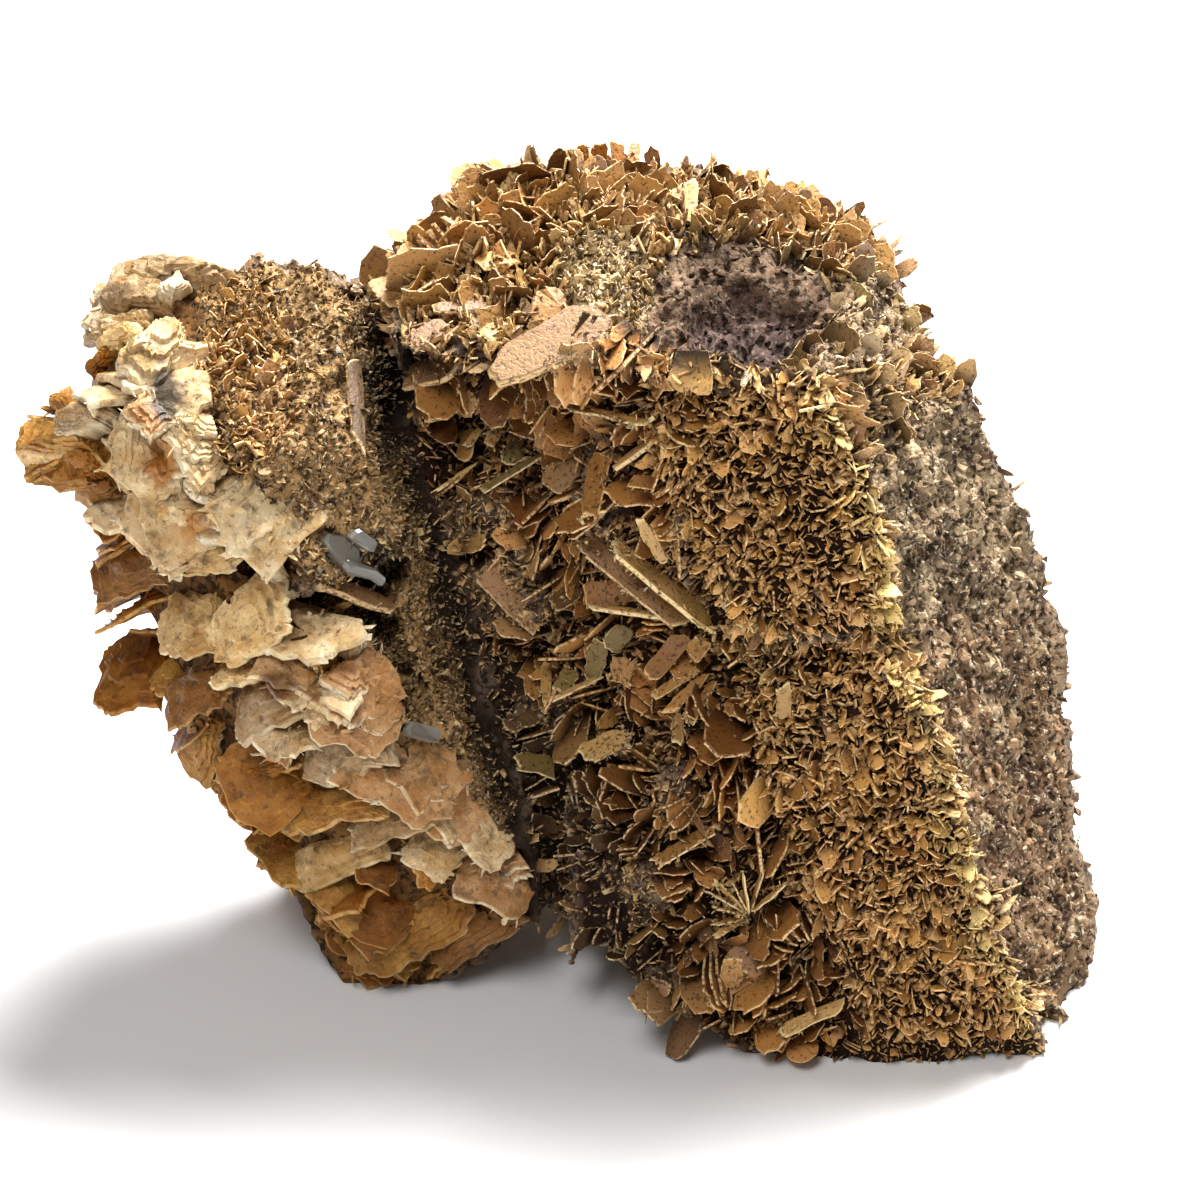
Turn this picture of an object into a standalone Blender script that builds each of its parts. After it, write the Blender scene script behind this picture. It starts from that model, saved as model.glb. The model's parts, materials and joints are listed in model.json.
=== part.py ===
"""A cabinet specimen of barite: one piece of rock, about 170 mm wide, that grew as a whole.

The right-hand mass is brown rock crusted with thin standing blades, with a bare crater in its
domed top and a bare broken face down its right side. The left-hand lobe is a stack of thick
honey and cream tabular crystals. A crevice runs between the two. It rests on a few small spots.

The rock is a few convex masses fused into one body, then hollowed, roughened and thinned to
flat facets. Crystals are flat-faced prisms rooted in it and fused to it.
Lengths below are in millimetres, and the object is made in metres, +Z up.
"""

import math
import random
from dataclasses import dataclass

import bmesh
import bpy
from mathutils import Matrix, Vector, noise
from mathutils.bvhtree import BVHTree

MM = 0.001
NODE_NAME = "barite_specimen"

# The corners below were set out about the middle of the viewed side. This moves the finished
# piece so that its origin is at the middle of its box, on the surface that it rests on.
MIDDLE_OFFSET = Vector((2.53, -10.14, 0.0))

# Corners of the convex masses that the rock is fused from
ROCK_MASSES = {
    "dome": (
        (-28, 12, 109), (-21, 20, 115), (-10, 26, 123), (6, 32, 119), (23, 32, 116), (38, 26, 110),
        (45, 21, 102), (-29, -6, 107), (-18, -13, 105), (-1, -20, 110), (14, -24, 112), (31, -22, 111),
        (-25, 10, 84), (0, 2, 85), (36, -8, 91), (52, 12, 89), (-22, 42, 104), (10, 48, 112), (42, 46, 104),
        (50, 40, 80), (-20, 44, 75),
    ),
    "shoulder": (
        (3, -16, 103), (31, -23, 111), (39, -25, 96), (42, -27, 78), (41, -27, 69), (28, -29, 70),
        (19, -27, 72), (-3, -14, 83), (-6, -8, 93), (-5, 15, 90), (45, 15, 90), (45, 15, 50), (5, 15, 50),
    ),
    "skirt": (
        (13, -22, 58), (43, -27, 68), (49, -29, 59), (55, -32, 40), (59, -33, 23), (67, -30, 5),
        (68, -27, -3), (45, -31, -3), (29, -29, -3), (8, -29, 11), (-5, -24, 20), (-1, -16, 37),
        (-6, -8, 42), (0, 15, 55), (50, 15, 55), (55, 15, -3), (15, 15, -3),
    ),
    "trunk": (
        (0, -4, 94), (31, -20, 109), (54, 14, 91), (58, 14, 79), (63, 13, 69), (67, 12, 57), (73, 12, 46),
        (75, 8, 25), (79, 4, 10), (81, -2, 3), (79, -11, -3), (60, -28, 20), (50, -24, 56), (-22, 2, 81),
        (-18, 0, 62), (-15, -3, 43), (-8, -10, 22), (-14, 44, 95), (45, 46, 90), (62, 36, 60), (66, 30, 20),
        (56, 32, -3), (22, 36, -3), (14, 42, 6), (60, 38, 8), (-12, 40, 25), (-18, 46, 60), (74, -21, -3),
        (20, -28, 4),
    ),
    "upper_lobe": (
        (-73, 2, 106), (-65, 8, 112), (-56, 12, 108), (-51, 14, 106), (-40, 14, 109), (-36, 14, 107),
        (-78, -4, 92), (-77, -2, 77), (-76, 2, 63), (-66, -12, 105), (-56, -20, 95), (-42, -18, 97),
        (-34, -8, 96), (-26, -12, 76), (-43, -22, 75), (-72, 28, 98), (-40, 34, 98), (-74, 28, 65),
        (-40, 36, 60),
    ),
    "lower_lobe": (
        (-74, 0, 64), (-67, 2, 43), (-57, 0, 27), (-47, -3, 12), (-42, -10, 6), (-41, -13, -3),
        (-25, -13, -3), (-14, -15, 12), (-57, -18, 79), (-43, -26, 70), (-29, -26, 60), (-21, -22, 42),
        (-26, -20, 25), (-51, -16, 54), (-44, -16, 33), (-68, 26, 60), (-40, 34, 60), (-48, 20, 18),
        (-28, 22, 10), (-30, 14, -3), (-40, 6, -3),
    ),
    "bridge": (
        (-41, 12, 108), (-29, 14, 106), (-22, 4, 84), (-19, -2, 63), (-15, -10, 51), (-8, -18, 24),
        (-29, -10, 74), (-25, -18, 55), (-20, -20, 25), (-36, -6, 92), (-36, 34, 95), (-14, 42, 95),
        (-40, 32, 40), (-10, 38, 30), (-14, 14, 14), (-26, 14, 10),
    ),
    "back_swell": (
        (-8, 40, 102), (28, 44, 103), (42, 48, 78), (12, 54, 74), (-14, 46, 64), (22, 51, 44), (50, 42, 36),
        (0, 44, 30), (30, 44, 18), (35, 20, 60),
    ),
    "lobe_swell": (
        (-62, 27, 94), (-46, 37, 86), (-67, 28, 68), (-50, 36, 56), (-38, 34, 72), (-48, 24, 34),
        (-50, 10, 70),
    ),
    "tip": (
        (-84, -4, 90), (-79, -2, 95), (-72, -8, 99), (-68, -14, 95), (-77, -6, 85), (-83, -2, 85),
        (-75, 4, 77), (-75, 8, 90), (-83, 8, 85),
    ),
}

# How the masses are fused and worn
FUSING_CELL = 2.0
WEAR_PASSES = 3
ROCK_TRIANGLES = 1800
ALL_TRIANGLES = 9700

# Broad lumps and small ledges of the rock: amplitude and wavelength
LUMP_RISE, LUMP_SPAN = 1.6, 15.0
LEDGE_RISE, LEDGE_SPAN = 1.2, 7.0
BACK_ROUGHER = 1.2

# The rock is lowered by this much, so that its crystals reach the outline
ROCK_LOWERED = 1.1


@dataclass(frozen=True)
class Finish:
    """One of the piece's natural finishes: its name, linear colour and roughness."""

    name: str
    colour: tuple
    roughness: float


# A face's material index is its finish's place in this list
FINISHES = (
    Finish("grey_brown_matrix", (0.19, 0.13, 0.09, 1.0), 0.9),
    Finish("tan_blades", (0.42, 0.22, 0.08, 1.0), 0.5),
    Finish("honey_plates", (0.50, 0.27, 0.09, 1.0), 0.4),
    Finish("cream_plates", (0.60, 0.52, 0.36, 1.0), 0.45),
)
TAN, HONEY, CREAM = 1, 2, 3


@dataclass(frozen=True)
class Hollow:
    """A pit pressed into the rock: its middle, the way it opens, its half width and its depth."""

    middle: tuple
    opens: tuple
    half_width: float
    depth: float


CRATER = Hollow((19, -4, 114), (0.0, -0.37, 0.93), 15.0, 11.0)
HOLLOWS = (
    CRATER,
    Hollow((24, -10, 114), (0.1, -0.40, 0.92), 8.0, 4.0),
    Hollow((-31, -2, 93), (0.0, -1.0, 0.1), 6.0, 10.0),
    Hollow((-61, -13, 101), (-0.1, -0.8, 0.5), 4.0, 3.5),
    Hollow((-56, -18, 86), (-0.3, -0.9, 0.0), 4.5, 4.5),
    Hollow((-36, -16, 72), (0.2, -1.0, 0.3), 5.0, 3.5),
)

# The crevice between the lobe and the bladed mass, and the heights that it fades between
CREVICE_HALF_WIDTH = 5.0
CREVICE_DEPTH = 9.0
CREVICE_FADES = (28.0, 62.0)


@dataclass(frozen=True)
class Habit:
    """How one kind of crystal grows, in millimetres, and how far apart its crystals sit."""

    width: float
    proud: float
    thickness: float
    buried: float
    lean: float
    spacing: float
    finish: int = TAN


HABITS = {
    "coarse_blade": Habit(10.0, proud=5.2, thickness=1.5, buried=4.0, lean=0.55, spacing=7.4),
    "fine_blade": Habit(6.5, proud=3.4, thickness=1.3, buried=3.0, lean=0.45, spacing=7.2),
    "dome_blade": Habit(8.0, proud=4.0, thickness=1.4, buried=3.0, lean=0.5, spacing=7.6),
    "cream_plate": Habit(13.0, proud=4.0, thickness=3.6, buried=8.0, lean=0.45, spacing=9.0, finish=CREAM),
    "honey_plate": Habit(14.0, proud=4.2, thickness=3.0, buried=9.0, lean=0.35, spacing=10.0, finish=HONEY),
    "back_blade": Habit(6.0, proud=3.0, thickness=1.8, buried=4.0, lean=0.6, spacing=26.0),
}

# Outlines of a crystal, across and outwards, as shares of its width and of how proud it stands
BLADE_OUTLINE = ((-0.5, 0.0), (-0.46, 0.62), (-0.14, 1.0), (0.24, 0.93), (0.5, 0.55), (0.48, 0.0))
PLATE_OUTLINE = ((-0.5, 0.0), (-0.47, 0.55), (-0.3, 0.86), (-0.02, 1.0), (0.27, 0.9), (0.47, 0.6), (0.5, 0.0))
CHIP = 0.10


@dataclass(frozen=True)
class Feature:
    """A crystal that stands out: the point it grows near, which way it points and faces, and its size."""

    near: tuple
    points: tuple
    faces: tuple
    width: float
    proud: float
    thickness: float
    finish: int = TAN


FEATURES = (
    # The great striated slab and the chunky blade beside it, under the rim of the dome
    Feature((1, -15, 110), (-0.85, -0.45, -0.25), (-0.2, -0.7, 0.7), 10.0, 14.0, 3.4),
    Feature((-21, -11, 106), (-0.3, -0.9, 0.1), (-0.1, -0.3, 0.95), 11.0, 5.5, 4.5),
    Feature((-10, -5, 113), (-0.2, -0.5, 0.85), (0.3, -0.8, -0.3), 8.0, 5.0, 1.4),
    # The cluster on top of the dome
    Feature((1, 29, 121), (-0.2, 0.0, 1.0), (0.6, -0.8, 0.0), 6.5, 6.0, 1.5),
    Feature((6, 30, 121), (0.1, 0.1, 1.0), (-0.5, -0.85, 0.0), 6.5, 6.5, 1.5),
    # Long blades that lie across the shaded left part of the bladed front
    Feature((1, -15, 100), (0.0, -1.0, 0.1), (-0.3, 0.1, 0.95), 13.0, 5.0, 1.6),
    Feature((6, -18, 74), (-0.3, -0.9, -0.2), (0.4, -0.3, 0.85), 26.0, 4.0, 2.0),
    Feature((2, -14, 67), (-0.2, -0.9, 0.1), (-0.25, 0.0, 0.97), 12.0, 5.0, 1.6),
    Feature((11, -17, 61), (0.0, -0.95, 0.2), (0.9, 0.0, -0.3), 9.0, 6.0, 1.5),
    Feature((12, -17, 59), (-0.3, -0.9, 0.1), (0.5, 0.0, 0.85), 9.0, 6.0, 1.5),
    Feature((2, -17, 47), (-0.3, -0.9, 0.2), (0.2, -0.4, 0.9), 10.0, 4.0, 1.8),
    Feature((25, -25, 60), (0.0, -0.95, 0.3), (0.0, -0.3, 0.95), 6.0, 5.0, 1.4),
    # Low on the front: a plate, a long blade and the cluster at its lower left corner
    Feature((19, -31, 16), (-0.2, -0.9, 0.0), (0.3, -0.5, 0.8), 8.0, 4.0, 1.8),
    Feature((32, -31, 8), (0.0, -1.0, 0.0), (-0.4, 0.0, 0.9), 11.0, 3.5, 1.6),
    Feature((7, -29, 11), (-0.4, -0.8, -0.3), (0.9, -0.3, 0.1), 7.0, 4.0, 1.6),
    Feature((9, -29, 8), (-0.1, -0.9, -0.3), (0.2, -0.3, 0.95), 8.0, 4.0, 1.6),
    # Two blades at the foot of the broken side
    Feature((69, -17, 9), (0.6, -0.7, 0.2), (-0.5, 0.0, 0.85), 7.0, 4.0, 1.8),
    Feature((78, -1, 8), (0.9, -0.3, 0.2), (0.0, 0.3, 0.95), 6.0, 3.0, 1.6),
    # Thick plates that bridge the hollows of the lobe
    Feature((-62, -14, 96), (-0.2, -0.95, 0.0), (0.95, -0.2, 0.1), 16.0, 3.0, 4.0, CREAM),
    Feature((-56, -19, 78), (-0.1, -0.95, 0.0), (-0.2, 0.0, 0.95), 16.0, 3.5, 3.6, CREAM),
    Feature((-34, -17, 66), (0.1, -0.95, 0.0), (0.35, 0.0, 0.95), 16.0, 3.5, 2.6, CREAM),
)

# The rosette low on the front, whose blades cross at one point
ROSETTE_BLADE = Feature((21, -29, 26), (0, -1, 0), (0, 0, 1), 11.0, 4.0, 1.3)
ROSETTE_BLADES = 5
ROSETTE_TURN = 0.3

# How places for the scattered crystals are sought: rays from far out towards the middle, evenly spread
SEARCH_MIDDLE = Vector((0.0, 5.0, 58.0))
SEARCH_DIRECTIONS = 3000
SEARCH_REACH = 300.0
GOLDEN_TURN = math.pi * (3.0 - math.sqrt(5.0))

CRYSTAL_SEED = 41
FEATURE_BURIED = 5.0

# Honey plates hang like shingles: this is added to the way the rock faces
SHINGLE_HANG = Vector((-0.5, 0.1, -1.0))

# Where each kind grows. Lines on the front are x at z = 0 and how x changes with z.
CREVICE_LINE = (-6.68, -0.235)
RIDGE_LINE = (61.5, -0.25)
LOBE_ROCK_LINE = (10.64, -0.68)
LOBE_ROCK_BOTTOM = 48.0
BARE_BESIDE_CREVICE = (1.5, 4.0)
UNDERSIDE_TOP = 8.0
FOOT_TOP = 22.0
WINDOWS_BOTTOM = 74.0
DOME_BOTTOM = 95.0
DOME_BACK = 40.0
COARSE_SHARE = 0.52

# The block that is cut away under the piece: across, deep and high
GROUND = (300.0, 300.0, 60.0)


def finish_material(finish):
    """A material with the finish's colour and roughness."""
    made = bpy.data.materials.new(finish.name)
    made.use_nodes = True
    shader = made.node_tree.nodes["Principled BSDF"]
    shader.inputs["Base Color"].default_value = finish.colour
    shader.inputs["Roughness"].default_value = finish.roughness
    shader.inputs["Metallic"].default_value = 0.0
    return made


def hull_of(corners):
    """A closed convex mesh around the corners."""
    mass = bmesh.new()
    for corner in corners:
        mass.verts.new(Vector(corner) * MM)
    made = bmesh.ops.convex_hull(mass, input=mass.verts)
    inside = [item for item in made["geom_interior"] if isinstance(item, bmesh.types.BMVert)]
    bmesh.ops.delete(mass, geom=inside, context="VERTS")
    bmesh.ops.recalc_face_normals(mass, faces=mass.faces)
    return mass


def object_from(name, mass):
    """A linked object holding the bmesh, which is freed, with all the finishes."""
    mesh = bpy.data.meshes.new(name)
    mass.to_mesh(mesh)
    mass.free()
    for finish in FINISHES:
        mesh.materials.append(bpy.data.materials.get(finish.name) or finish_material(finish))
    made = bpy.data.objects.new(name, mesh)
    bpy.context.scene.collection.objects.link(made)
    return made


def apply_modifiers(target):
    """Replaces the object's mesh by what its modifiers make of it."""
    bpy.context.view_layer.update()
    graph = bpy.context.evaluated_depsgraph_get()
    finished = bpy.data.meshes.new_from_object(target.evaluated_get(graph))
    target.modifiers.clear()
    target.data = finished


def fused_masses():
    """The convex masses as one body with worn edges."""
    together = bmesh.new()
    for corners in ROCK_MASSES.values():
        mass = hull_of(corners)
        mesh = bpy.data.meshes.new("mass")
        mass.to_mesh(mesh)
        mass.free()
        together.from_mesh(mesh)
        bpy.data.meshes.remove(mesh)
    rock = object_from(NODE_NAME, together)
    fuse = rock.modifiers.new("fuse", "REMESH")
    fuse.mode = "VOXEL"
    fuse.voxel_size = FUSING_CELL * MM
    wear = rock.modifiers.new("wear", "SMOOTH")
    wear.factor = 0.5
    wear.iterations = WEAR_PASSES
    apply_modifiers(rock)
    return rock


def relief(point, facing):
    """How far lumps and small ledges make the rock stand out at a point, in millimetres."""
    lump = noise.noise(point / LUMP_SPAN)
    ledge = noise.noise(point / LEDGE_SPAN + Vector((31.0, 7.0, 19.0)))
    rougher = 1.0 + BACK_ROUGHER * max(facing.y, 0.0)
    return rougher * (LUMP_RISE * lump + LEDGE_RISE * (1.0 - 2.0 * abs(ledge))) - ROCK_LOWERED


def line_x(line, height):
    """Where a line on the front runs at a height."""
    start, slope = line
    return start + slope * height


def crevice_push(place, facing):
    """How the crevice moves a point of the front of the rock inwards."""
    off_line = abs(place.x - line_x(CREVICE_LINE, place.z)) / CREVICE_HALF_WIDTH
    if off_line >= 1.0 or facing.y > -0.1:
        return Vector()
    low, high = CREVICE_FADES
    strength = min(max((place.z - low) / (high - low), 0.0), 1.0)
    return Vector((0.0, CREVICE_DEPTH * strength * (1.0 - off_line ** 2), 0.0))


def hollow_push(hollow, place, facing):
    """How a hollow moves a point of the rock inwards."""
    opens = Vector(hollow.opens).normalized()
    away = place - Vector(hollow.middle)
    off_axis = (away - opens * away.dot(opens)).length / hollow.half_width
    if off_axis >= 1.0 or facing.dot(opens) <= 0:
        return Vector()
    return -opens * hollow.depth * (1.0 - off_axis ** 2)


def carve(rock):
    """Roughens the rock and presses its hollows in, point by point."""
    shape = bmesh.new()
    shape.from_mesh(rock.data)
    shape.normal_update()
    moved = {}
    for corner in shape.verts:
        place = corner.co / MM
        push = corner.normal * relief(place, corner.normal) + crevice_push(place, corner.normal)
        push += sum((hollow_push(hollow, place, corner.normal) for hollow in HOLLOWS), Vector())
        moved[corner] = corner.co + push * MM
    for corner, place in moved.items():
        corner.co = place
    shape.to_mesh(rock.data)
    shape.free()


def thin_out(target, triangles):
    """Thins a mesh to about so many flat triangles."""
    target.data.calc_loop_triangles()
    thin = target.modifiers.new("thin", "DECIMATE")
    thin.use_collapse_triangulate = True
    thin.ratio = triangles / len(target.data.loop_triangles)
    apply_modifiers(target)


def in_crater(place):
    """Whether a point is in the bare crater of the dome."""
    return (place - Vector(CRATER.middle)).length < CRATER.half_width + 1.0


def lobe_habit(place, facing, from_crevice):
    """The kind of crystal that grows at a point of the lobe, or None where it is bare."""
    in_rock = place.z >= LOBE_ROCK_BOTTOM and place.x > line_x(LOBE_ROCK_LINE, place.z)
    in_arch = place.z < FOOT_TOP and facing.x > 0.3
    if in_rock or in_arch or facing.y > 0.55 or from_crevice < BARE_BESIDE_CREVICE[0]:
        return None
    lit = facing.z > 0.25 or (facing.y < -0.3 and place.z > WINDOWS_BOTTOM)
    return "cream_plate" if lit else "honey_plate"


def habit_at(place, facing):
    """The kind of crystal that grows at a point of the rock, or None where it is bare."""
    crevice, ridge = line_x(CREVICE_LINE, place.z), line_x(RIDGE_LINE, place.z)
    if place.z < UNDERSIDE_TOP and facing.z < -0.45:
        return None
    if place.x < crevice:
        return lobe_habit(place, facing, crevice - place.x)
    if in_crater(place) or place.x < crevice + BARE_BESIDE_CREVICE[1]:
        return None
    if place.z > DOME_BOTTOM and facing.z > 0.45:
        return "dome_blade" if place.y < DOME_BACK else "back_blade"
    if facing.y > 0.3:
        return "back_blade"
    if place.x > ridge:
        return None
    return "coarse_blade" if place.x < crevice + COARSE_SHARE * (ridge - crevice) else "fine_blade"


def surface_sites(tree):
    """Points all over the rock, where rays towards its middle meet it."""
    for step in range(SEARCH_DIRECTIONS):
        level = 1.0 - 2.0 * (step + 0.5) / SEARCH_DIRECTIONS
        sideways = math.sqrt(1.0 - level * level)
        turn = step * GOLDEN_TURN
        away = Vector((sideways * math.cos(turn), sideways * math.sin(turn), level))
        spot, facing, _, _ = tree.ray_cast((SEARCH_MIDDLE + away * SEARCH_REACH) * MM, -away)
        if spot is not None:
            yield spot / MM, facing


def crystal(mass, form, spot, outwards, faces, chips):
    """Adds one closed flat-faced crystal to the mass, rooted below its spot.

    form is a Habit or a Feature, whose sizes it takes. A plate, which is any crystal that isn't tan, is
    bevelled: it is widest at half its thickness.
    """
    bevelled = form.finish != TAN
    outwards = Vector(outwards).normalized()
    faces = Vector(faces)
    faces = (faces - outwards * faces.dot(outwards)).normalized()
    across = outwards.cross(faces)
    buried = getattr(form, "buried", FEATURE_BURIED)
    outline = PLATE_OUTLINE if bevelled else BLADE_OUTLINE
    rim = [(x + chips.uniform(-CHIP, CHIP), y * (1.0 + chips.uniform(-CHIP, CHIP))) for x, y in outline]
    rings = []
    for side, spread in ((-0.5, 0.8), (0.0, 1.0), (0.5, 0.8)) if bevelled else ((-0.5, 1.0), (0.5, 1.0)):
        ring = []
        for x, y in rim:
            rise = -buried if y == 0.0 else y * form.proud * spread
            place = spot + across * x * form.width * spread + outwards * rise
            ring.append(mass.verts.new((place + faces * side * form.thickness) * MM))
        rings.append(ring)
    faces_made = [mass.faces.new(rings[0][::-1]), mass.faces.new(rings[-1])]
    for lower, upper in zip(rings, rings[1:]):
        for i in range(len(rim)):
            j = (i + 1) % len(rim)
            faces_made.append(mass.faces.new((lower[i], lower[j], upper[j], upper[i])))
    for face in faces_made:
        face.material_index = form.finish


def chance_direction(chips):
    """A direction that is as likely as any other."""
    return Vector((chips.gauss(0, 1), chips.gauss(0, 1), chips.gauss(0, 1))).normalized()


def leaning(direction, lean, chips):
    """A direction turned off line by a chance amount."""
    push = chance_direction(chips)
    return (direction.normalized() + (push - direction * push.dot(direction)) * lean).normalized()


def feature_crystals(mass, tree, chips):
    """Adds the crystals that stand out, and returns their spots."""
    spots = []
    for feature in FEATURES:
        nearest = tree.find_nearest(Vector(feature.near) * MM)[0] / MM
        crystal(mass, feature, nearest, feature.points, feature.faces, chips)
        spots.append(nearest)
    centre = tree.find_nearest(Vector(ROSETTE_BLADE.near) * MM)[0] / MM
    for step in range(ROSETTE_BLADES):
        turn = math.pi * (step + ROSETTE_TURN) / ROSETTE_BLADES
        faces = (math.cos(turn), 0.0, math.sin(turn))
        crystal(mass, ROSETTE_BLADE, centre, ROSETTE_BLADE.points, faces, chips)
    return spots + [centre]


def scattered_crystals(mass, tree, chips, taken):
    """Adds crystals all over the rock, each of the kind that grows there, clear of the spots taken."""
    for spot, facing in surface_sites(tree):
        kind = habit_at(spot, facing)
        if kind is None:
            continue
        habit = HABITS[kind]
        if any((spot - other).length < habit.spacing for other in taken):
            continue
        taken.append(spot)
        faces = chance_direction(chips)
        outwards = leaning(facing, habit.lean, chips)
        if kind == "honey_plate":
            outwards = leaning(facing + SHINGLE_HANG, habit.lean, chips)
            faces = leaning(facing, habit.lean, chips)
        crystal(mass, habit, spot, outwards, faces, chips)


def crystals_on(tree):
    """All the crystals of the piece, as one mesh whose crystals may cross."""
    chips = random.Random(CRYSTAL_SEED)
    mass = bmesh.new()
    taken = feature_crystals(mass, tree, chips)
    scattered_crystals(mass, tree, chips, taken)
    bmesh.ops.recalc_face_normals(mass, faces=mass.faces)
    return object_from("crystals", mass)


def join_crystals(rock):
    """Fuses the crystals to the rock."""
    tree = BVHTree.FromObject(rock, bpy.context.evaluated_depsgraph_get())
    grown = crystals_on(tree)
    fuse = rock.modifiers.new("crystals", "BOOLEAN")
    fuse.operation = "UNION"
    fuse.object = grown
    fuse.use_self = True
    apply_modifiers(rock)
    bpy.data.objects.remove(grown)


def keep_outer_skin(rock):
    """Fills any bubble that crystals shut in where they cross, by keeping only the largest shell."""
    shape = bmesh.new()
    shape.from_mesh(rock.data)
    unseen = set(shape.faces)
    shells = []
    while unseen:
        shell, edge_of_search = set(), [unseen.pop()]
        while edge_of_search:
            face = edge_of_search.pop()
            shell.add(face)
            beside = {other for edge in face.edges for other in edge.link_faces} & unseen
            unseen -= beside
            edge_of_search.extend(beside)
        shells.append(shell)
    shells.sort(key=len)
    inner = [face for shell in shells[:-1] for face in shell]
    bmesh.ops.delete(shape, geom=inner, context="FACES")
    shape.to_mesh(rock.data)
    shape.free()


def cut_rest(rock):
    """Cuts the piece off flat where it rests."""
    ground = bmesh.new()
    bmesh.ops.create_cube(ground, size=1.0)
    bmesh.ops.scale(ground, vec=Vector(GROUND) * MM, verts=ground.verts)
    bmesh.ops.translate(ground, vec=Vector((0.0, 0.0, -GROUND[2] / 2)) * MM, verts=ground.verts)
    below = object_from("below_rest", ground)
    cut = rock.modifiers.new("rest", "BOOLEAN")
    cut.operation = "DIFFERENCE"
    cut.object = below
    apply_modifiers(rock)
    bpy.data.objects.remove(below)


def main():
    """Builds the specimen."""
    for old in list(bpy.data.objects):
        bpy.data.objects.remove(old)
    rock = fused_masses()
    carve(rock)
    thin_out(rock, ROCK_TRIANGLES)
    join_crystals(rock)
    keep_outer_skin(rock)
    thin_out(rock, ALL_TRIANGLES)
    cut_rest(rock)
    rock.data.transform(Matrix.Translation(MIDDLE_OFFSET * MM))


main()
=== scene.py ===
"""The looks of a cabinet specimen of barite, built round the fixed frame of its solid.

The specimen is one piece of brown rock. Thin golden blades of barite stand all over its right-hand
mass, honey and cream plates hang in shingles on its left-hand lobe, and a crevice parts the two.
Lengths are in millimetres where a name ends in _mm or a comment says so, and objects are in metres.
"""

from __future__ import annotations

import json
import logging
import math
import random
from collections.abc import Iterable, Sequence
from dataclasses import dataclass
from enum import Enum

import bmesh
import bpy
import numpy as np
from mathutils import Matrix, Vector, noise
from mathutils.bvhtree import BVHTree

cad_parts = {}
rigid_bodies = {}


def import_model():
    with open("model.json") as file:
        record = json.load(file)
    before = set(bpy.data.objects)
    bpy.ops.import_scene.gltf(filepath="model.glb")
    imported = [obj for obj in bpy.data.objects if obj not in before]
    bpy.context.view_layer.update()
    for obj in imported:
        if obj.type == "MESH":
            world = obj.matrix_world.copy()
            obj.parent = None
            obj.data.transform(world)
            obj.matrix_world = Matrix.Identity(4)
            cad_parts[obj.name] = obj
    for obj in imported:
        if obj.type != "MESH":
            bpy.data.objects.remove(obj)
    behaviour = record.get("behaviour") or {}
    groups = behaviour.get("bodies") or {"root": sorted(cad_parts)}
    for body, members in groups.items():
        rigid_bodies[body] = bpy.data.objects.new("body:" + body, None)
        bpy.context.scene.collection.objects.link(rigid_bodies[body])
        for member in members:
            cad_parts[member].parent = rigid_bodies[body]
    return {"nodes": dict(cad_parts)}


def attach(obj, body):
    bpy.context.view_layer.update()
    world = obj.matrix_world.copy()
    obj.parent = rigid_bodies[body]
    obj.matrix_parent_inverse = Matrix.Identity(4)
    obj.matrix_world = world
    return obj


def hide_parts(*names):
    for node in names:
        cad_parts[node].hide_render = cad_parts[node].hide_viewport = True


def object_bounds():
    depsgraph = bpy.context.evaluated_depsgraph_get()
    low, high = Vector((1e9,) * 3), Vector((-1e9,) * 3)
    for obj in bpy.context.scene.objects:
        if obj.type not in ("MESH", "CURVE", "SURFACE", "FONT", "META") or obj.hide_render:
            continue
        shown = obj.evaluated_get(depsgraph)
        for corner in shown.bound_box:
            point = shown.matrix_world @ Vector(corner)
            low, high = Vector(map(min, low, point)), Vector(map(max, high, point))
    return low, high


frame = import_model()
CAD_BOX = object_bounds()

log = logging.getLogger("barite")
logging.basicConfig(level=logging.INFO, format="%(message)s")

Pair = tuple[float, float]
Triple = tuple[float, float, float]

MM = 0.001
NODE = "barite_specimen"
BODY = "root"

# The rock's corners below were set out about the middle of the viewed side, and this moves them
# to the middle of the specimen's box
MIDDLE_OFFSET = np.array((2.53, -10.14, 0.0))

# How far a piece stays inside the solid's box
BOX_MARGIN_MM = 0.05


class Slot(Enum):
    """The record's material slots."""

    MATRIX = "grey_brown_matrix"
    TAN = "tan_blades"
    HONEY = "honey_plates"
    CREAM = "cream_plates"


Finishes = dict[Slot, bpy.types.Material]


def linear(code: str) -> tuple[float, float, float, float]:
    """Turns an sRGB hex colour to linear.

    Args:
        code: six hex digits after a #.

    Returns:
        The red, green, blue and alpha that a shader takes.
    """
    shares = [int(code[i:i + 2], 16) / 255.0 for i in (1, 3, 5)]
    red, green, blue = (s / 12.92 if s <= 0.04045 else ((s + 0.055) / 1.055) ** 2.4 for s in shares)
    return red, green, blue, 1.0


def smooth(low: float, high: float, value: np.ndarray) -> np.ndarray:
    """Rises smoothly from 0 where value is low to 1 where it is high."""
    share = np.clip((value - low) / (high - low), 0.0, 1.0)
    return share * share * (3.0 - 2.0 * share)


def unit(vectors: np.ndarray) -> np.ndarray:
    """The vectors, each made one long."""
    return vectors / np.maximum(np.linalg.norm(vectors, axis=-1, keepdims=True), 1e-9)


def ripple(points: np.ndarray, span: float, seed: float = 0.0) -> np.ndarray:
    """Smooth noise at points.

    Args:
        points: places in millimetres.
        span: the distance over which the noise changes, in millimetres.
        seed: moves the noise, so that two layers differ.

    Returns:
        A value from about -1 to 1 for each point.
    """
    shift = Vector((seed, 0.37 * seed, 0.71 * seed))
    return np.array([noise.noise(Vector(p) / span + shift) for p in points])


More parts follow.
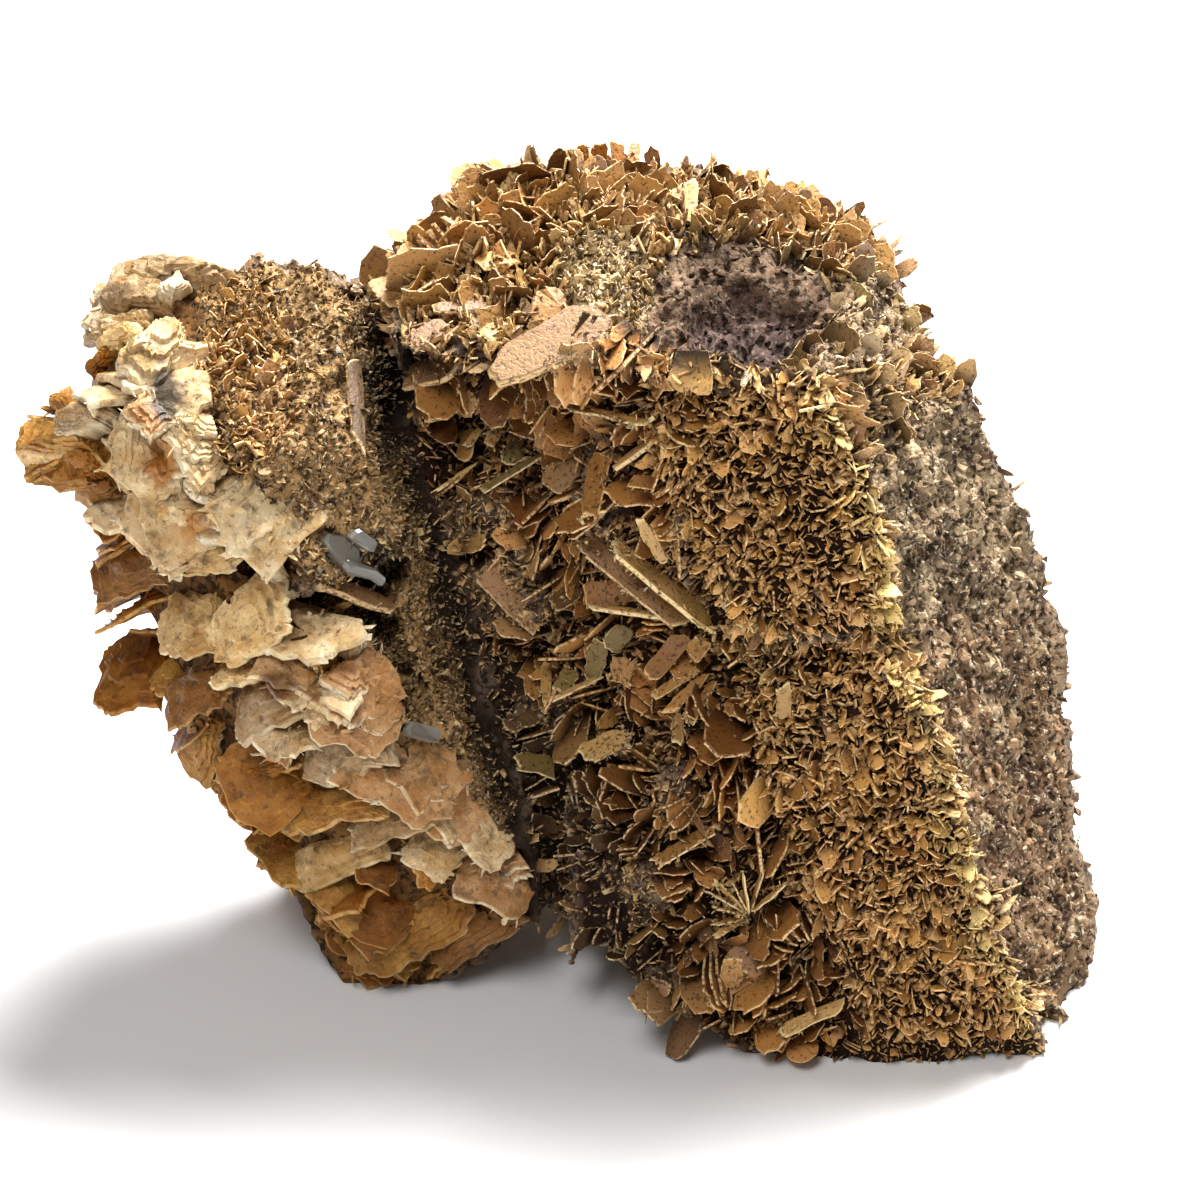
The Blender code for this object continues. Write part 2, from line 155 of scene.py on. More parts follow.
def grains(points: np.ndarray, span: float, seed: float = 0.0) -> np.ndarray:
    """Grains packed side by side: 1 in the middle of a grain and 0 where two meet.

    Args:
        points: places in millimetres.
        span: the size of a grain, in millimetres.
        seed: moves the grains.

    Returns:
        A value from 0 to 1 for each point.
    """
    shift = Vector((seed, 0.37 * seed, 0.71 * seed))
    made = np.empty(len(points))
    for i, point in enumerate(points):
        near = noise.voronoi(Vector(point) / span + shift)[0]
        made[i] = min(near[1] - near[0], 1.0)
    return made


def scattered(chips: random.Random) -> Triple:
    """A chance vector, most often about one long."""
    return chips.gauss(0.0, 1.0), chips.gauss(0.0, 1.0), chips.gauss(0.0, 1.0)


def linked(name: str, data: bpy.types.ID) -> bpy.types.Object:
    """A new object of the scene."""
    made = bpy.data.objects.new(name, data)
    bpy.context.scene.collection.objects.link(made)
    return made


def hull(points: Iterable[Sequence[float]]) -> bmesh.types.BMesh:
    """The convex body round some points, with its faces pointing out."""
    form = bmesh.new()
    for point in points:
        form.verts.new(point)
    inside = bmesh.ops.convex_hull(form, input=form.verts)["geom_interior"]
    lost = [item for item in inside if isinstance(item, bmesh.types.BMVert)]
    bmesh.ops.delete(form, geom=lost, context="VERTS")
    bmesh.ops.recalc_face_normals(form, faces=form.faces)
    return form


@dataclass(frozen=True)
class PhotoView:
    """The photograph's viewpoint, and how its 1200 x 1200 frame maps onto the specimen."""

    location_mm: Triple = (2.53, -443.15, 312.0)
    tilt_deg: float = 60.0
    lens_mm: float = 100.0
    sensor_mm: float = 36.0
    frame_px: float = 1200.0
    mm_per_px: float = 0.15
    clip_m: Pair = (0.01, 10.0)

    @property
    def axes(self) -> np.ndarray:
        """The view's right, up and forward directions, one to a row."""
        tilt = math.radians(self.tilt_deg)
        return np.array((
            (1.0, 0.0, 0.0),
            (0.0, math.cos(tilt), math.sin(tilt)),
            (0.0, math.sin(tilt), -math.cos(tilt)),
        ))

    def direction(self, right: float, up: float, nearer: float) -> Vector:
        """A direction given as it looks in the photograph: right, up and towards the viewer."""
        return Vector(np.array((right, up, -nearer)) @ self.axes)

    def pixels(self, points: np.ndarray) -> tuple[np.ndarray, np.ndarray]:
        """Where points in millimetres show in the photograph.

        Args:
            points: places in millimetres, one to a row.

        Returns:
            Their pixel columns and pixel rows.
        """
        seen = (points - np.array(self.location_mm)) @ self.axes.T
        half = self.frame_px / 2.0
        scale = half / (self.sensor_mm / 2.0 / self.lens_mm)
        return half + scale * seen[:, 0] / seen[:, 2], half - scale * seen[:, 1] / seen[:, 2]

    def ray(self, column: float, row: float) -> tuple[Vector, Vector]:
        """The line of sight through a pixel: where it starts, in millimetres, and its direction."""
        half = self.frame_px / 2.0
        reach = self.sensor_mm / 2.0 / self.lens_mm
        sight = np.array(((column - half) / half * reach, (half - row) / half * reach, 1.0)) @ self.axes
        return Vector(self.location_mm), Vector(sight).normalized()

    def camera(self) -> None:
        """Makes the camera and makes it the scene's."""
        data = bpy.data.cameras.new("photo_camera")
        data.lens = self.lens_mm
        data.sensor_width = self.sensor_mm
        data.clip_start, data.clip_end = self.clip_m
        made = linked("photo_camera", data)
        made.location = Vector(self.location_mm) * MM
        made.rotation_euler = (math.radians(self.tilt_deg), 0.0, 0.0)
        bpy.context.scene.camera = made


VIEW = PhotoView()


def add(tree: bpy.types.NodeTree, kind: str, links: Iterable[tuple] = (),
        **settings: object) -> bpy.types.Node:
    """Adds a node to a tree.

    Args:
        tree: the tree that takes it.
        kind: the node's type name.
        links: pairs of an input, by name or number, and the value or output that it takes.
        settings: the node's own properties.

    Returns:
        The node.
    """
    node = tree.nodes.new(kind)
    for name, value in settings.items():
        setattr(node, name, value)
    for socket, value in links:
        if isinstance(value, bpy.types.NodeSocket):
            tree.links.new(value, node.inputs[socket])
        else:
            node.inputs[socket].default_value = value
    return node


def lay(tree: bpy.types.NodeTree, below: object, over: object, where: object = 1.0, low: float = 0.0,
        high: float = 1.0, top: float = 1.0, also: object = 1.0) -> bpy.types.NodeSocket:
    """Lays one colour over another where a value is high.

    Args:
        tree: the material's tree.
        below: the colour's output that is covered.
        over: the covering colour: a hex code, or an output and the three factors that it takes.
        where: the value, a number or an output.
        low: the value at which nothing is covered. It may be above high.
        high: the value from which the cover is full.
        top: how much a full cover hides.
        also: a share that the cover is multiplied by, a number or an output.

    Returns:
        The output of the colour that shows.
    """
    span = add(tree, "ShaderNodeMapRange", (
        ("Value", where), ("From Min", low), ("From Max", high), ("To Min", 0.0), ("To Max", top)),
        clamp=True)
    share = add(tree, "ShaderNodeMath", ((0, span.outputs[0]), (1, also)), operation="MULTIPLY")
    if isinstance(over, str):
        colour = linear(over)
    else:
        colour = add(tree, "ShaderNodeMix", (("Factor", 1.0), (6, over[0]), (7, (*over[1], 1.0))),
                     data_type="RGBA", blend_type="MULTIPLY", clamp_result=True).outputs[2]
    return add(tree, "ShaderNodeMix", (("Factor", share.outputs[0]), (6, below), (7, colour)),
               data_type="RGBA", clamp_result=True).outputs[2]


def new_material(name: str, values: dict[str, object]) -> bpy.types.Material:
    """A material with a Principled shader.

    Args:
        name: its name.
        values: the shader's inputs that are the same all over.

    Returns:
        The material.
    """
    made = bpy.data.materials.new(name)
    made.use_nodes = True
    for socket, value in values.items():
        made.node_tree.nodes["Principled BSDF"].inputs[socket].default_value = value
    return made


def dress(made: bpy.types.Material, colour: bpy.types.NodeSocket, height: bpy.types.NodeSocket,
          relief_mm: float, strength: float = 0.9) -> bpy.types.Material:
    """Gives a material the colour and the fine relief that its nodes work out.

    Args:
        made: the material.
        colour: the colour's output.
        height: the output of the relief's height, from 0 to 1.
        relief_mm: how deep the relief is.
        strength: how much of it shows.

    Returns:
        The same material.
    """
    tree = made.node_tree
    bump = add(tree, "ShaderNodeBump", (
        ("Height", height), ("Distance", relief_mm * MM), ("Strength", strength)))
    tree.links.new(colour, tree.nodes["Principled BSDF"].inputs["Base Color"])
    tree.links.new(bump.outputs[0], tree.nodes["Principled BSDF"].inputs["Normal"])
    return made


# How much the fine parts of every cloudy pattern count
NOISE_ROUGHNESS = 0.6


@dataclass(frozen=True)
class MatrixFinish:
    """Barite-bearing rock, broken rough: sugary grains, with pale flecks and dark pores between them.

    The "tone" attribute gives the rock's own colour at each place, and "flecked" how many flecks.
    """

    name: str = "rough_barite_rock"
    grain_mm: float = 1.3
    fleck_mm: float = 0.8
    cloud_mm: float = 9.0
    dark: Triple = (0.50, 0.46, 0.42)
    light: Triple = (1.40, 1.38, 1.34)
    pore: str = "#20140c"
    fleck: str = "#d8c8ab"
    roughness: float = 0.88
    shine: float = 0.15
    relief_mm: float = 0.7

    def material(self) -> bpy.types.Material:
        """Builds the finish."""
        made = new_material(self.name, {"Roughness": self.roughness, "Specular IOR Level": self.shine})
        tree = made.node_tree
        where = add(tree, "ShaderNodeTexCoord").outputs["Object"]
        tone = add(tree, "ShaderNodeAttribute", attribute_name="tone").outputs["Color"]
        flecked = add(tree, "ShaderNodeAttribute", attribute_name="flecked").outputs["Fac"]
        clouds, grain, specks = (
            add(tree, "ShaderNodeTexNoise", (
                ("Vector", where), ("Scale", 1.0 / (span * MM)), ("Detail", detail),
                ("Roughness", NOISE_ROUGHNESS))).outputs["Fac"]
            for span, detail in ((self.cloud_mm, 3.0), (self.grain_mm, 3.0), (self.fleck_mm, 1.0))
        )
        colour = lay(tree, tone, (tone, self.dark))
        colour = lay(tree, colour, (tone, self.light), clouds, 0.38, 0.62)
        colour = lay(tree, colour, self.pore, grain, 0.51, 0.40, 0.9)
        colour = lay(tree, colour, self.fleck, specks, 0.59, 0.68, 0.65, flecked)
        return dress(made, colour, grain, self.relief_mm)


@dataclass(frozen=True)
class BladeFinish:
    """Thin tabular barite, iron-stained: golden tan, striated lengthways, with paler translucent rims
    that are partly a painted highlight.

    The "crust" attribute gives each place's own golden tone, "tint" each blade's chance share,
    "rise" the way up from the root, which is darker with dirt and painted shade, and "rim" the thin
    edge, paler partly as a painted highlight.
    """

    name: str = "iron_stained_barite_blades"
    dull: Triple = (0.42, 0.33, 0.22)
    bright: Triple = (1.50, 1.58, 1.72)
    olive: Triple = (0.90, 0.90, 0.72)
    # Colour of the dark dust specks, and of the painted shade that darkens each blade towards its root
    root: str = "#2e180b"
    streak: str = "#8a5c30"
    # Pale thin edge: partly paler thin barite, partly a painted highlight where edges catch the light
    rim: str = "#eecf98"
    roughness: float = 0.5
    ior: float = 1.64
    shine: float = 0.3
    streak_mm: float = 0.35
    streak_stretch: Triple = (1.0, 0.12, 1.0)
    dust_mm: float = 0.6
    patch_mm: float = 8.0
    relief_mm: float = 0.2

    def material(self) -> bpy.types.Material:
        """Builds the finish."""
        made = new_material(self.name, {
            "Roughness": self.roughness, "Specular IOR Level": self.shine, "IOR": self.ior})
        tree = made.node_tree
        where = add(tree, "ShaderNodeTexCoord").outputs["Object"]
        on_blade = add(tree, "ShaderNodeUVMap", uv_map="blade").outputs[0]
        stretched = add(tree, "ShaderNodeMapping", (("Vector", on_blade), ("Scale", self.streak_stretch)))
        crust = add(tree, "ShaderNodeAttribute", attribute_name="crust").outputs["Color"]
        tint, rise, rim = (
            add(tree, "ShaderNodeAttribute", attribute_name=name).outputs["Fac"]
            for name in ("tint", "rise", "rim")
        )
        patches, streaks, dust = (
            add(tree, "ShaderNodeTexNoise", (
                ("Vector", place), ("Scale", 1.0 / (span * MM)), ("Detail", detail),
                ("Roughness", NOISE_ROUGHNESS))).outputs["Fac"]
            for place, span, detail in (
                (where, self.patch_mm, 1.0), (stretched.outputs[0], self.streak_mm, 1.0),
                (where, self.dust_mm, 2.0))
        )
        worn = add(tree, "ShaderNodeMapRange", (
            ("Value", dust), ("From Min", 0.42), ("From Max", 0.55)), clamp=True)
        colour = lay(tree, crust, (crust, self.dull))
        colour = lay(tree, colour, (crust, self.bright), tint, 0.1, 1.0)
        colour = lay(tree, colour, (colour, self.olive), patches, 0.60, 0.44)
        colour = lay(tree, colour, self.streak, streaks, 0.54, 0.70, 0.3)
        colour = lay(tree, colour, self.root, dust, 0.44, 0.34, 0.75)
        # Painted shade with some dirt: each blade darkens towards its root, down in the gaps between blades
        colour = lay(tree, colour, self.root, rise, 0.62, 0.05, 0.96)
        # Painted highlight, in part: the thin edges turn pale where the worn pattern is high
        colour = lay(tree, colour, self.rim, rim, 0.5, 1.0, 0.75, worn.outputs[0])
        return dress(made, colour, dust, self.relief_mm, 0.8)


@dataclass(frozen=True)
class WaxyFinish:
    """Thick tabular barite, waxy and translucent: honey brown in its depths, cream on lit plates.

    The "crust" attribute gives the colour of each plate. Light soaks in a few millimetres.
    """

    name: str = "waxy_translucent_barite"
    cloud_mm: float = 5.0
    wrinkle_mm: float = 2.2
    fleck_mm: float = 0.9
    deep: Triple = (0.74, 0.62, 0.44)
    frost: Triple = (1.35, 1.38, 1.42)
    dirt: str = "#4a3320"
    roughness: float = 0.45
    shine: float = 0.16
    ior: float = 1.64
    soak_mm: float = 2.5
    soaked: float = 0.15
    soak_shares: Triple = (1.0, 0.72, 0.38)
    relief_mm: float = 0.8

    def material(self) -> bpy.types.Material:
        """Builds the finish."""
        made = new_material(self.name, {
            "Roughness": self.roughness, "Specular IOR Level": self.shine, "IOR": self.ior,
            "Subsurface Weight": self.soaked, "Subsurface Radius": self.soak_shares,
            "Subsurface Scale": self.soak_mm * MM})
        tree = made.node_tree
        where = add(tree, "ShaderNodeTexCoord").outputs["Object"]
        tone = add(tree, "ShaderNodeAttribute", attribute_name="crust").outputs["Color"]
        clouds, wrinkles, flecks = (
            add(tree, "ShaderNodeTexNoise", (
                ("Vector", where), ("Scale", 1.0 / (span * MM)), ("Detail", detail),
                ("Roughness", NOISE_ROUGHNESS))).outputs["Fac"]
            for span, detail in ((self.cloud_mm, 2.0), (self.wrinkle_mm, 4.0), (self.fleck_mm, 2.0))
        )
        colour = lay(tree, tone, (tone, self.deep), clouds, 0.60, 0.38)
        colour = lay(tree, colour, self.dirt, wrinkles, 0.46, 0.34, 0.55)
        colour = lay(tree, colour, (colour, self.frost), flecks, 0.56, 0.68, 0.8)
        colour = lay(tree, colour, self.dirt, flecks, 0.38, 0.30, 0.6)
        return dress(made, colour, wrinkles, self.relief_mm)


@dataclass(frozen=True)
class ClearFinish:
    """Clear barite, see-through with a faint grey tint and a soft surface."""

    name: str = "clear_barite"
    tint: str = "#9d978a"
    roughness: float = 0.3
    clearness: float = 0.65
    ior: float = 1.64

    def material(self) -> bpy.types.Material:
        """Builds the finish."""
        return new_material(self.name, {
            "Base Color": linear(self.tint), "Roughness": self.roughness, "IOR": self.ior,
            "Transmission Weight": self.clearness})


@dataclass(frozen=True)
class FloorFinish:
    """Matt white paper that the specimen stands on."""

    name: str = "matt_white_paper"
    colour: str = "#f4f4f4"
    roughness: float = 0.9

    def material(self) -> bpy.types.Material:
        """Builds the finish."""
        return new_material(self.name, {
            "Base Color": linear(self.colour), "Roughness": self.roughness})


# Lines in the photograph that part one kind of surface from the next. Each is read across or down
# its frame, in pixels: a line that runs down the frame gives a column for each row, and LOBE_FOOT and
# DOME_RIM, which run across it, give a row for each column.
CREVICE = (
    (255, 366), (350, 380), (430, 402), (500, 424), (560, 446), (640, 462), (720, 482), (800, 508),
    (905, 545))
RIDGE = ((370, 838), (480, 880), (600, 905), (720, 945), (840, 980), (940, 1003), (1000, 1040), (1060, 1062))
COARSE_EDGE = ((400, 640), (500, 650), (600, 705), (700, 745), (800, 765), (900, 800), (1000, 860))
# Edge of the zone low on the front whose rock and blades are painted dark: dark matrix and painted shade
DARK_SHADED_EDGE = ((560, 470), (640, 500), (700, 530), (800, 585), (900, 625), (960, 650))
LOBE_ROCK_EDGE = (
    (255, 200), (330, 195), (450, 222), (500, 265), (560, 300), (620, 322), (690, 385), (760, 445),
    (900, 540))
HONEY_EDGE = (
    (430, 60), (480, 95), (530, 118), (600, 175), (640, 200), (700, 240), (760, 280), (800, 330),
    (850, 420), (900, 480))
LOBE_SIDE = (
    (250, 152), (262, 108), (282, 84), (330, 84), (350, 92), (385, 98), (400, 52), (425, 14), (450, 8),
    (478, 22), (498, 74), (540, 98), (600, 96), (660, 98), (700, 118), (725, 146), (760, 180), (785, 212),
    (830, 240), (880, 266), (908, 322), (950, 310), (990, 345))
RIGHT_SIDE = (
    (300, 1200), (660, 1080), (700, 1072), (780, 1075), (860, 1085), (910, 1102), (960, 1102),
    (1060, 1080))
LOBE_FOOT = ((300, 940), (318, 962), (345, 990), (372, 984), (440, 975), (480, 950), (530, 915), (560, 1200))
DOME_RIM = (
    (365, 290), (400, 350), (480, 392), (560, 388), (600, 350), (650, 350), (700, 380), (835, 372),
    (925, 300))


def along(line: Sequence[Pair], at: np.ndarray) -> np.ndarray:
    """Where a line of the photograph runs, for each row or column in at."""
    first, second = zip(*line)
    return np.interp(at, first, second)


@dataclass(frozen=True)
class Blot:
    """A round patch in the photograph: its middle, and its half width and half height, in pixels."""

    middle: Pair
    half: Pair

    def share(self, column: np.ndarray, row: np.ndarray) -> np.ndarray:
        """1 inside the patch and 0 outside it, with a soft border."""
        off = np.hypot((column - self.middle[0]) / self.half[0], (row - self.middle[1]) / self.half[1])
        return 1.0 - smooth(0.75, 1.1, off)


CRATER_MOUTH = Blot((737, 290), (114, 86))
CRATER_FLOOR = Blot((752, 305), (70, 50))
CHALKY_PATCH = Blot((604, 266), (50, 50))
GRITTY_SHOULDER = Blot((868, 322), (66, 62))
# Where the deep hole is painted near black: painted shade
HOLE_SHADE = Blot((384, 392), (27, 48))
PIT_SHADE = Blot((165, 396), (15, 30))
CLEAR_PATCH = Blot((366, 556), (38, 18))
# Where the hollow by the clear crystal is painted dark: painted shade
CLEAR_HOLLOW_SHADE = Blot((392, 575), (20, 16))
FLAKY_PATCH = Blot((246, 380), (56, 100))
OCHRE_PATCH = Blot((326, 642), (13, 30))
DOME_SHOULDER = Blot((430, 200), (110, 100))
ARCH_TOP = Blot((548, 880), (48, 55))
AMBER_WINDOW = Blot((160, 464), (17, 26))
AMBER_CUP = Blot((197, 524), (16, 12))
BROWN_CUP = Blot((276, 686), (22, 16))
AMBER_RECESS = Blot((260, 776), (26, 22))
# Spots laid on the plates: the dark one in a pit, and the brown and amber in the cups and the recess, are
# painted shade
DARK_AND_AMBER_SPOTS = (
    (PIT_SHADE, "#3a3533"),
    (AMBER_WINDOW, "#a5691f"),
    (AMBER_CUP, "#b0742c"),
    (BROWN_CUP, "#6f4a27"),
    (AMBER_RECESS, "#9a6220"),
)
RUBBLE_PATCHES = tuple(Blot(*place) for place in (
    ((470, 520), (36, 34)), ((508, 598), (38, 44)), ((455, 640), (18, 60)), ((534, 150), (24, 18)),
    ((668, 792), (20, 26)), ((672, 540), (18, 20)), ((585, 545), (20, 12)), ((640, 900), (24, 40)),
    ((650, 1000), (26, 26)), ((535, 720), (24, 30)), ((760, 660), (26, 14)), ((548, 262), (16, 10)),
))


@dataclass(frozen=True)
class PlateTones:
    """The colours of a plate: its body and its thin edge, lighter partly as a painted highlight."""

    body: str
    edge: str


class Tone(Enum):
    """The colours of the large crystals: slot, body and thin edge, lighter partly as a painted highlight."""

    TAN = (Slot.TAN, "#ab7c44", "#d8b078")
    PALE = (Slot.TAN, "#b98f56", "#dfc08a")
    PINKISH = (Slot.TAN, "#8e6a47", "#b89265")
    BROWN = (Slot.TAN, "#96642f", "#cf9f62")
    OLIVE = (Slot.TAN, "#776338", "#bfa672")
    # Painted shade: brown crystals set in the crevice and the shaded hollow of the front face are made darker
    DARK = (Slot.TAN, "#5c4126", "#97754a")
    ORANGE = (Slot.TAN, "#b47b36", "#d59f58")
    HONEY = (Slot.HONEY, "#ac7d3c", "#d9b47c")
    AMBER = (Slot.HONEY, "#95601f", "#c08a42")
    UMBER = (Slot.HONEY, "#8b5f2e", "#bb9663")
    KHAKI = (Slot.HONEY, "#bf9d69", "#dcc49a")
    CREAM = (Slot.CREAM, "#c6ae86", "#dfd0b2")
    BUTTER = (Slot.CREAM, "#dbb982", "#e8d6ac")
    CHALK = (Slot.CREAM, "#c6b799", "#ddd3bd")
    PUTTY = (Slot.CREAM, "#ac9270", "#cdbc9e")
    CLEAR = (Slot.CREAM, "#dfe3e4", "#eef0f0")

    @property
    def slot(self) -> Slot:
        """The record's slot that it belongs to."""
        return self.value[0]

    @property
    def plate(self) -> PlateTones:
        """Its colours as a plate takes them."""
        return PlateTones(self.value[1], self.value[2])


@dataclass(frozen=True)
class Feature:
    """A large crystal that the photograph shows, placed by where it shows there.

    root_px and tip_px end its long axis and width_px is its breadth. lifts_mm is how far its root and
    its tip stand in front of the rock, and faces is the way its broad side faces: right, up and nearer.
    """

    root_px: Pair
    tip_px: Pair
    width_px: float
    lifts_mm: Pair
    faces: Triple
    tone: Tone
    thickness_mm: float = 0.7
    dish_mm: float = 0.3
    saw_mm: float = 0.12
    steps_mm: float = 0.12

    def cover(self, column: np.ndarray, row: np.ndarray) -> np.ndarray:
        """1 where the photograph shows this crystal and 0 away from it, with a soft border."""
        root, tip = np.array(self.root_px), np.array(self.tip_px)
        axis = tip - root
        at = np.clip(((column - root[0]) * axis[0] + (row - root[1]) * axis[1]) / (axis @ axis), 0.0, 1.0)
        off = np.hypot(column - root[0] - at * axis[0], row - root[1] - at * axis[1])
        return 1.0 - smooth(0.35, 0.65, off / self.width_px)


def features(*rows: tuple) -> tuple[Feature, ...]:
    """Large crystals from a table, whose columns are the fields of Feature in their order."""
    return tuple(Feature(*row) for row in rows)


def rosette(centre_px: Pair, reach_px: float, turns_deg: Sequence[float], width_px: float,
            tone: Tone) -> tuple[Feature, ...]:
    """Thin blades that fan out from one point.

    Args:
        centre_px: the point.
        reach_px: the blades' length.
        turns_deg: each blade's direction in the photograph, anticlockwise from the right.
        width_px: the blades' breadth.
        tone: their colour.

    Returns:
        The blades.
    """
    made = []
    for number, turn in enumerate(turns_deg):
        way = (math.cos(math.radians(turn)), -math.sin(math.radians(turn)))
        reach = reach_px * (0.8 + 0.3 * (number % 3) / 2.0)
        tip = (centre_px[0] + reach * way[0], centre_px[1] + reach * way[1])
        faces = (0.9 * way[1], 0.5 + 0.5 * abs(way[0]), 0.55)
        made.append(Feature(centre_px, tip, width_px, (2.0, 6.5), faces, tone, 0.5))
    return tuple(made)


DOME_FEATURES = features(
    ((612, 310), (497, 376), 54, (5, 24), (-0.15, 0.4, 0.9), Tone.PINKISH, 3.4, 0.3, 0.2, 0.5),
    ((450, 322), (405, 346), 28, (4.5, 14.5), (-0.2, 0.5, 0.8), Tone.PINKISH, 1.8, 0.4, 0.2, 0.4),
    ((466, 362), (402, 377), 34, (3, 5), (-0.1, 0.5, 0.85), Tone.PINKISH, 2, 0.6, 0.2, 0.4),
    ((492, 304), (426, 309), 20, (3, 5), (0, 0.8, 0.6), Tone.PINKISH, 1),
    ((568, 298), (528, 304), 46, (3, 5), (-0.5, 0.4, 0.75), Tone.TAN, 0.7, 2),
    ((512, 322), (482, 335), 26, (3, 5), (-0.3, 0.3, 0.9), Tone.PALE, 0.6, 1.2),
    ((520, 250), (478, 262), 34, (2.5, 4.5), (-0.1, 0.7, 0.7), Tone.TAN, 0.6, 1.5),
    ((585, 168), (579, 143), 17, (1, 1.5), (-0.2, 0, 1), Tone.ORANGE, 0.5),
    ((601, 170), (599, 141), 19, (1, 1.5), (0.2, 0.1, 1), Tone.ORANGE, 0.5),
    ((617, 170), (619, 140), 18, (1, 1.5), (-0.1, 0.1, 1), Tone.ORANGE, 0.5),
    ((632, 172), (637, 140), 14, (1, 1.5), (0.3, 0.1, 0.9), Tone.ORANGE, 0.5),
    ((689, 222), (692, 176), 14, (1.5, 3), (-0.2, 0.2, 1), Tone.PALE, 0.6),
    ((664, 205), (690, 184), 15, (1, 3), (0.1, 0.4, 0.9), Tone.ORANGE, 0.5),
    ((712, 186), (714, 152), 10, (1, 1.5), (0.1, 0.1, 1), Tone.ORANGE, 0.5),
    ((736, 190), (740, 164), 9, (1, 1.5), (-0.3, 0.1, 1), Tone.TAN, 0.5),
    ((764, 196), (762, 167), 12, (1, 1.5), (0.2, 0.1, 1), Tone.ORANGE, 0.5),
    ((352, 350), (359, 450), 19, (1, 3.5), (0.5, 0.1, 0.85), Tone.DARK, 1.2),
)

CRUST_FEATURES = features(
    ((656, 424), (557, 404), 12, (5, 7), (0.1, 0.6, 0.6), Tone.PALE, 0.9),
    ((468, 390), (456, 418), 36, (2.5, 6), (-0.1, 0.3, 0.9), Tone.PALE, 0.7, 1.5),
    ((470, 424), (462, 463), 20, (4, 7), (-0.5, 0.2, 0.8), Tone.TAN, 0.7),
    ((480, 428), (465, 448), 9, (5, 8), (0.3, 0.5, 0.7), Tone.PALE),
    ((501, 424), (487, 444), 15, (4, 7), (0, 0.3, 0.9), Tone.TAN),
    ((522, 446), (502, 462), 20, (4, 7), (0.2, 0.2, 0.9), Tone.OLIVE),
    ((480, 461), (430, 494), 5, (5, 7), (0.4, 0.7, 0.4), Tone.PALE, 0.5),
    ((546, 452), (478, 491), 15, (4, 7.5), (-0.3, 0.6, 0.5), Tone.OLIVE, 0.6),
    ((578, 460), (546, 487), 34, (4.5, 8), (-0.1, 0.25, 0.95), Tone.TAN, 0.9),
    ((600, 452), (590, 518), 26, (4, 8), (-0.55, 0.1, 0.8), Tone.BROWN, 0.8),
    ((606, 510), (577, 517), 8, (7.5, 9), (0, 0.9, 0.3), Tone.PALE, 0.8),
    ((657, 437), (610, 470), 17, (4.5, 7), (0.1, 0.8, 0.5), Tone.PALE, 1.2),
    ((694, 636), (571, 529), 26, (5, 9), (0.3, 0.3, 0.9), Tone.PINKISH, 1.6, 0.2, 0.15, 0.3),
    ((716, 630), (600, 533), 30, (3, 6.5), (0.5, 0.6, 0.6), Tone.PALE, 1.4, 0.2, 0.4, 0.5),
    ((668, 568), (639, 521), 14, (6, 9.5), (-0.3, 0.3, 0.9), Tone.PALE, 1),
    ((644, 588), (579, 596), 29, (5, 8), (-0.05, 0, 1), Tone.BROWN, 0.9),
    ((664, 617), (589, 606), 9, (6, 9), (0, 0.8, 0.6), Tone.PALE, 1.3),
    ((478, 562), (546, 638), 32, (4.5, 6.5), (0.25, 0.35, 0.9), Tone.PINKISH, 1.5, 0.3, 0.3, 0.4),
    ((577, 586), (549, 606), 22, (3, 6), (0, 0.3, 0.9), Tone.DARK),
    ((628, 625), (605, 652), 26, (4, 7), (0.1, -0.1, 1), Tone.OLIVE),
    ((602, 636), (590, 684), 25, (4, 7.5), (-0.35, 0.1, 0.9), Tone.OLIVE),
    ((625, 657), (618, 684), 27, (6, 8.5), (0, 0.5, 0.8), Tone.TAN, 1.2),
    ((690, 632), (646, 677), 24, (4, 9), (-0.15, -0.05, 1), Tone.BROWN, 0.9),
    ((708, 638), (690, 657), 22, (5, 7.5), (0, 0.3, 0.9), Tone.TAN),
    ((702, 666), (650, 698), 14, (3.5, 8.5), (-0.2, 0.5, 0.8), Tone.TAN),
    ((708, 672), (664, 714), 13, (3.5, 8.5), (-0.4, 0.3, 0.8), Tone.BROWN),
    ((716, 676), (688, 724), 13, (3.5, 8), (-0.6, 0.2, 0.7), Tone.TAN),
    ((547, 660), (545, 706), 12, (4, 7), (-0.2, 0.1, 1), Tone.PALE),
    ((574, 668), (555, 694), 22, (4, 7), (-0.2, 0.3, 0.9), Tone.OLIVE),
    ((602, 675), (554, 698), 7, (6, 8), (0.3, 0.8, 0.4), Tone.PALE),
    ((632, 732), (574, 760), 27, (4, 8), (0, 0.6, 0.8), Tone.PALE, 0.8),
    ((677, 714), (679, 746), 14, (4, 7.5), (0, 0.1, 1), Tone.PALE, 0.8),
    ((720, 824), (648, 866), 20, (4, 8), (-0.3, 0.7, 0.6), Tone.TAN),
    ((560, 770), (515, 760), 25, (2.5, 4.5), (0, 0.4, 0.9), Tone.OLIVE),
    ((540, 715), (500, 728), 22, (2, 4), (0, 0.5, 0.8), Tone.DARK),
    ((783, 724), (784, 682), 18, (2, 4.5), (0.1, 0, 1), Tone.PALE, 0.8),
    ((730, 988), (732, 955), 25, (3, 6), (0, 0.3, 0.9), Tone.TAN, 0.8),
    ((852, 1000), (778, 1033), 18, (3, 6), (0, 0.6, 0.8), Tone.PALE, 0.8),
    ((664, 980), (640, 1012), 24, (2, 4), (-0.2, 0.2, 0.9), Tone.PINKISH, 1.4),
) + rosette((748, 914), 46, (168, 150, 134, 118, 98, 72, 196, 214, 40), 9, Tone.PALE)

